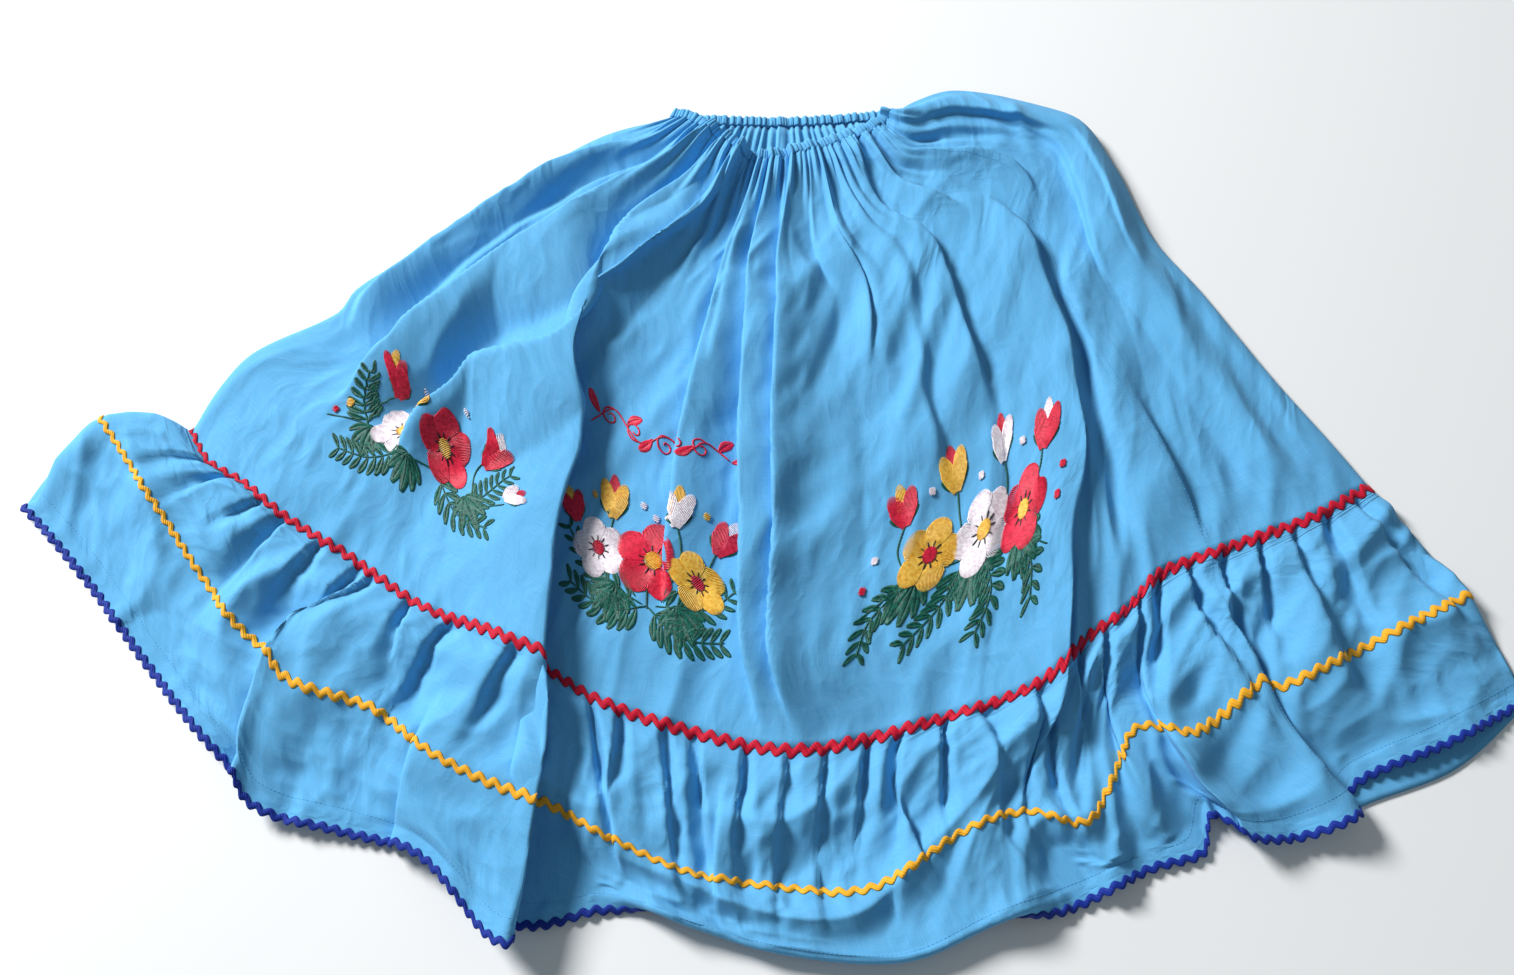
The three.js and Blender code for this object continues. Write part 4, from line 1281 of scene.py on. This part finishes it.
def thread_object(name, points, normals, size, material):
    """Raised threads along rows of points: an arched top over a flat foot."""
    along = unit(np.gradient(points, axis=1))
    aside = unit(np.cross(along, normals))
    taper = THREAD_ENDS[None, :, None]
    rings = []
    for angle in THREAD_SECTION:
        out = aside * math.cos(angle) * size["width"] / 2 + normals * math.sin(angle) * size["height"]
        rings.append(points + normals * CLOTH_THICKNESS * THREAD_FOOT / 1000 + out * taper / 1000)
    rings = np.stack(rings, axis=2)
    threads, steps, ring = rings.shape[:3]
    index = np.arange(threads * steps * ring).reshape(threads, steps, ring)
    around = np.concatenate([index, index[:, :, :1]], axis=2)
    corners = [around[:, :-1, :-1], around[:, :-1, 1:], around[:, 1:, 1:], around[:, 1:, :-1]]
    faces = np.stack(corners, axis=-1).reshape(-1, 4)
    obj = mesh_object(name, rings.reshape(-1, 3), faces, material)
    lengths = np.cumsum(np.full((threads, steps, ring), 1.0), axis=1)
    places = np.stack([index % UV_THREADS, lengths * 2], axis=-1).reshape(-1, 2)
    finish_surface(obj, faces, places)
    return obj


def thread_material(name, light, deep):
    material, tree, shader = new_material(name)
    place = add_node(tree, "TexCoord").outputs["Object"]
    noise = add_node(tree, "TexNoise", {"Vector": place, "Scale": 420, "Detail": 3}).outputs["Fac"]
    spread = add_node(tree, "MapRange", {"Value": noise, "From Min": 0.32, "From Max": 0.62})
    relief = {"Height": noise, "Strength": 0.5, "Distance": 0.0003}
    set_inputs(tree, shader, {
        "Base Color": mixed_shades(tree, spread.outputs["Result"], {"Deep": deep, "Light": light}),
        "Normal": add_node(tree, "Bump", relief).outputs["Normal"],
        "Roughness": 0.42,
        "Specular IOR Level": 0.35,
        "Sheen Weight": 0.03,
    })
    return material


thread_materials = {
    colour: thread_material("thread_" + colour, **shades) for colour, shades in THREADS.items()
}


def sew(name, patch):
    """Puts the stitches drawn so far on the cloth, an object for each colour."""
    for colour, drawn in stitches.items():
        if not drawn:
            continue
        points, normals = patch.at(np.concatenate(drawn))
        obj = thread_object(name + "_" + colour, points, normals, SATIN, thread_materials[colour])
        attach(obj, "root")
        drawn.clear()


# Left bunch: two open blossoms and a row of buds over a lying stem.
stem("green", [(-92, -26), (-60, -14), (-20, -22), (20, -16), (58, -26), (94, -16)])
spray([(-58, -14), (-78, 2), (-92, 24)], 18, 7)
spray([(-20, -22), (-44, -38), (-74, -44)], 19, 8)
spray([(20, -16), (46, -36), (80, -40)], 19, 8)
spray([(58, -26), (84, -2), (98, 14)], 16, 7)
leaf_fan((-54, -12), -80, 5, 28)
leaf_fan((-8, -18), -100, 6, 30)
leaf_fan((52, -20), -50, 5, 30)
stem("green", [(-60, -14), (-66, 6), (-60, 24)])
bud((-60, 20), 100, 31, "red", "gold")
stem("green", [(-20, -20), (-14, 4), (-8, 20)])
bud((-6, 14), 84, 29, "gold", "white")
stem("green", [(58, -24), (62, 2), (72, 18)])
bud((70, 10), 62, 33, "red", "white")
bud((92, -12), 30, 24, "white", "red")
blossom((-34, -2), 43, "white", "gold", 12)
blossom((30, 4), 47, "red", "gold", 30)
knot("gold", (-84, -6), 7)
knot("red", (-88, -18), 6)
for place in ((48, 38), (-32, 38)):
    knot("white", place, 6)
knot("gold", (14, 40), 6)
sew("left_bunch", Patch(across=0.183, down=0.785, half_width=124, half_height=66))

# Middle bunch: a large blossom between smaller ones, over a fan of leaves.
leaf_fan((-26, -26), -110, 6, 32)
leaf_fan((24, -28), -70, 6, 32)
spray([(0, -34), (-30, -46), (-68, -40)], 20, 9)
spray([(0, -34), (28, -50), (62, -46)], 20, 9)
spray([(-4, -34), (-48, -22), (-80, 0)], 17, 8)
spray([(6, -32), (46, -26), (76, -6)], 17, 8)
stem("green", [(0, -36), (-2, -20), (2, -8)])
stem("green", [(-10, -30), (-38, 0), (-42, 30)])
bud((-42, 24), 102, 34, "gold", "red")
stem("green", [(10, -28), (34, 6), (28, 36)])
bud((28, 30), 96, 34, "white", "gold")
stem("green", [(12, -28), (54, 2), (64, 26)])
bud((62, 18), 66, 32, "red", "white")
bud((-70, 6), 126, 27, "red", "gold")
blossom((-2, 2), 56, "red", "gold", 90)
blossom((44, -8), 40, "gold", "red", 20)
blossom((-47, -5), 42, "white", "red", 50)
for place in ((-20, 44), (-8, 37), (4, 46)):
    knot("white", place, 6)
for place in ((-62, 34), (50, 46), (84, 10)):
    knot("gold", place, 6)
sew("middle_bunch", Patch(across=0.408, down=0.79, half_width=106, half_height=78))

# Right bunch: blossoms and buds along an arching stem.
stem("green", [(-84, -34), (-50, -16), (-6, -10), (40, -16), (80, -40)])
leaf_fan((-44, -16), -110, 6, 32)
leaf_fan((4, -14), -90, 6, 34)
leaf_fan((48, -18), -60, 6, 32)
spray([(-50, -16), (-74, -36), (-78, -60)], 18, 7)
spray([(-6, -10), (-18, -38), (-44, -60)], 19, 8)
spray([(10, -12), (24, -40), (14, -66)], 19, 8)
spray([(40, -16), (62, -40), (64, -64)], 18, 7)
stem("green", [(-50, -16), (-66, 8), (-62, 32)])
bud((-62, 26), 104, 33, "red", "gold")
stem("green", [(-6, -10), (-16, 20), (-20, 46)])
bud((-20, 40), 98, 35, "gold", "red")
stem("green", [(22, -12), (32, 20), (28, 44)])
bud((28, 38), 86, 33, "white", "red")
stem("green", [(40, -16), (66, 8), (70, 32)])
bud((70, 24), 76, 34, "red", "white")
blossom((-38, 0), 46, "gold", "red", 0)
blossom((8, 2), 49, "white", "gold", 36)
blossom((51, -5), 45, "red", "gold", 70)
for place in ((-84, 6), (-42, 46), (4, 40), (50, 40)):
    knot("white", place, 6)
for place in ((-88, -14), (88, -16), (90, 4)):
    knot("red", place, 6)
sew("right_bunch", Patch(across=0.68, down=0.785, half_width=110, half_height=84))

# Red scroll above the middle bunch: a waving vine with curls and small leaves.
SCROLL_CURLS = [(-50, 10, 60, 1), (-26, -6, -60, -1), (0, 8, 70, 1), (26, -8, -70, -1), (50, 8, 50, 1)]
SCROLL_LEAVES = [
    (-64, 2, 120), (-38, 4, 35), (-14, 2, -130), (12, 2, 35), (38, 2, -140), (60, 4, 40), (70, -2, 10),
]
stem("red", [(-72, -8), (-50, 10), (-26, -6), (0, 8), (26, -8), (50, 8), (70, -2)])
for x, y, angle, side in SCROLL_CURLS:
    scroll("red", (x, y), angle, 8.5, side)
for x, y, angle in SCROLL_LEAVES:
    leaf("red", (x, y), angle, 18, 8, 1)
sew("scroll", Patch(across=0.392, down=0.6, half_width=90, half_height=44))


# Stitching
# Rows of short sky-blue lockstitches: below the casing, above the hem, and in pairs down the two
# felled side seams. The right seam has come round to the front, the left one to the back.
STITCH = {"length": 2.3, "step": 3.1, "width": 0.55, "height": 0.32}
STITCH_COLOUR = {"light": (0.10, 0.40, 0.70, 1), "deep": (0.05, 0.28, 0.55, 1)}
SEAM_ROWS_APART = 5
SEAM_STEPS = 160
CASING_STITCH_DEPTH = 1.2
HEM_STITCH_UP = 7
RIGHT_SEAM = {
    "down": [0.012, 0.285, 0.405, 0.6, 0.8, 1, 1.95],
    "across": [0.895, 0.875, 0.868, 0.866, 0.862, 0.86, 0.86],
}
LEFT_SEAM = {"down": [0.012, 1, 1.95], "across": [0.1, 0.13, 0.13]}
stitch_material = thread_material("thread_sky", **STITCH_COLOUR)


def stitch_row(layer, column, depth):
    """Points and normals of the short stitches along a path on a layer."""
    path, _ = on_layer(layer, column, depth)
    along = lengths_along(path) * 1000
    starts = np.arange(0, along[-1] - STITCH["length"], STITCH["step"])
    places = starts[:, None] + np.linspace(0, STITCH["length"], THREAD_STEPS)
    return on_layer(layer, np.interp(places, along, column), np.interp(places, along, depth))


def stitches_object(name, rows):
    points = np.concatenate([row[0] for row in rows])
    normals = np.concatenate([row[1] for row in rows])
    obj = thread_object(name, points, normals, STITCH, stitch_material)
    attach(obj, "root")
    return obj


def level_row(layer, depth):
    column = np.arange(layer["points"].shape[1] - 1, dtype=float)
    return stitch_row(layer, column, np.full(len(column), float(depth)))


def seam_rows(layer, columns_at, seam):
    """Two rows of stitches beside each other down a felled seam."""
    down = np.linspace(seam["down"][0], seam["down"][-1], SEAM_STEPS)
    across = np.interp(down, seam["down"], seam["across"])
    rows = []
    for aside in (0, SEAM_ROWS_APART):
        columns = columns_at(across + aside / span_at(down), down)
        rows.append(stitch_row(layer, columns, depth_of(down)))
    return rows


def front_columns_at(across, down):
    rows = rows_across(front_places, down)
    return np.array([np.interp(place, row, np.arange(len(row))) for place, row in zip(across, rows)])


def back_columns_at(across, _):
    return across * (len(back_columns) - 1)


back_inside = layer_of(back_points, depth_of(back_downs))
casing_row = level_row(front_layer, CASING_STITCH_DEPTH)
back_casing_row = level_row(back_inside, CASING_STITCH_DEPTH)
hem_row = level_row(front_layer, BODY_DEPTH + RUFFLE_DEPTH - HEM_STITCH_UP)
casing_stitches = stitches_object("front_casing_stitches", [casing_row])
back_casing_stitches = stitches_object("back_casing_stitches", [back_casing_row])
hem_stitches = stitches_object("front_hem_stitches", [hem_row])
right_seam = stitches_object("right_seam_stitches", seam_rows(front_layer, front_columns_at, RIGHT_SEAM))
left_seam = stitches_object("left_seam_stitches", seam_rows(back_layer, back_columns_at, LEFT_SEAM))
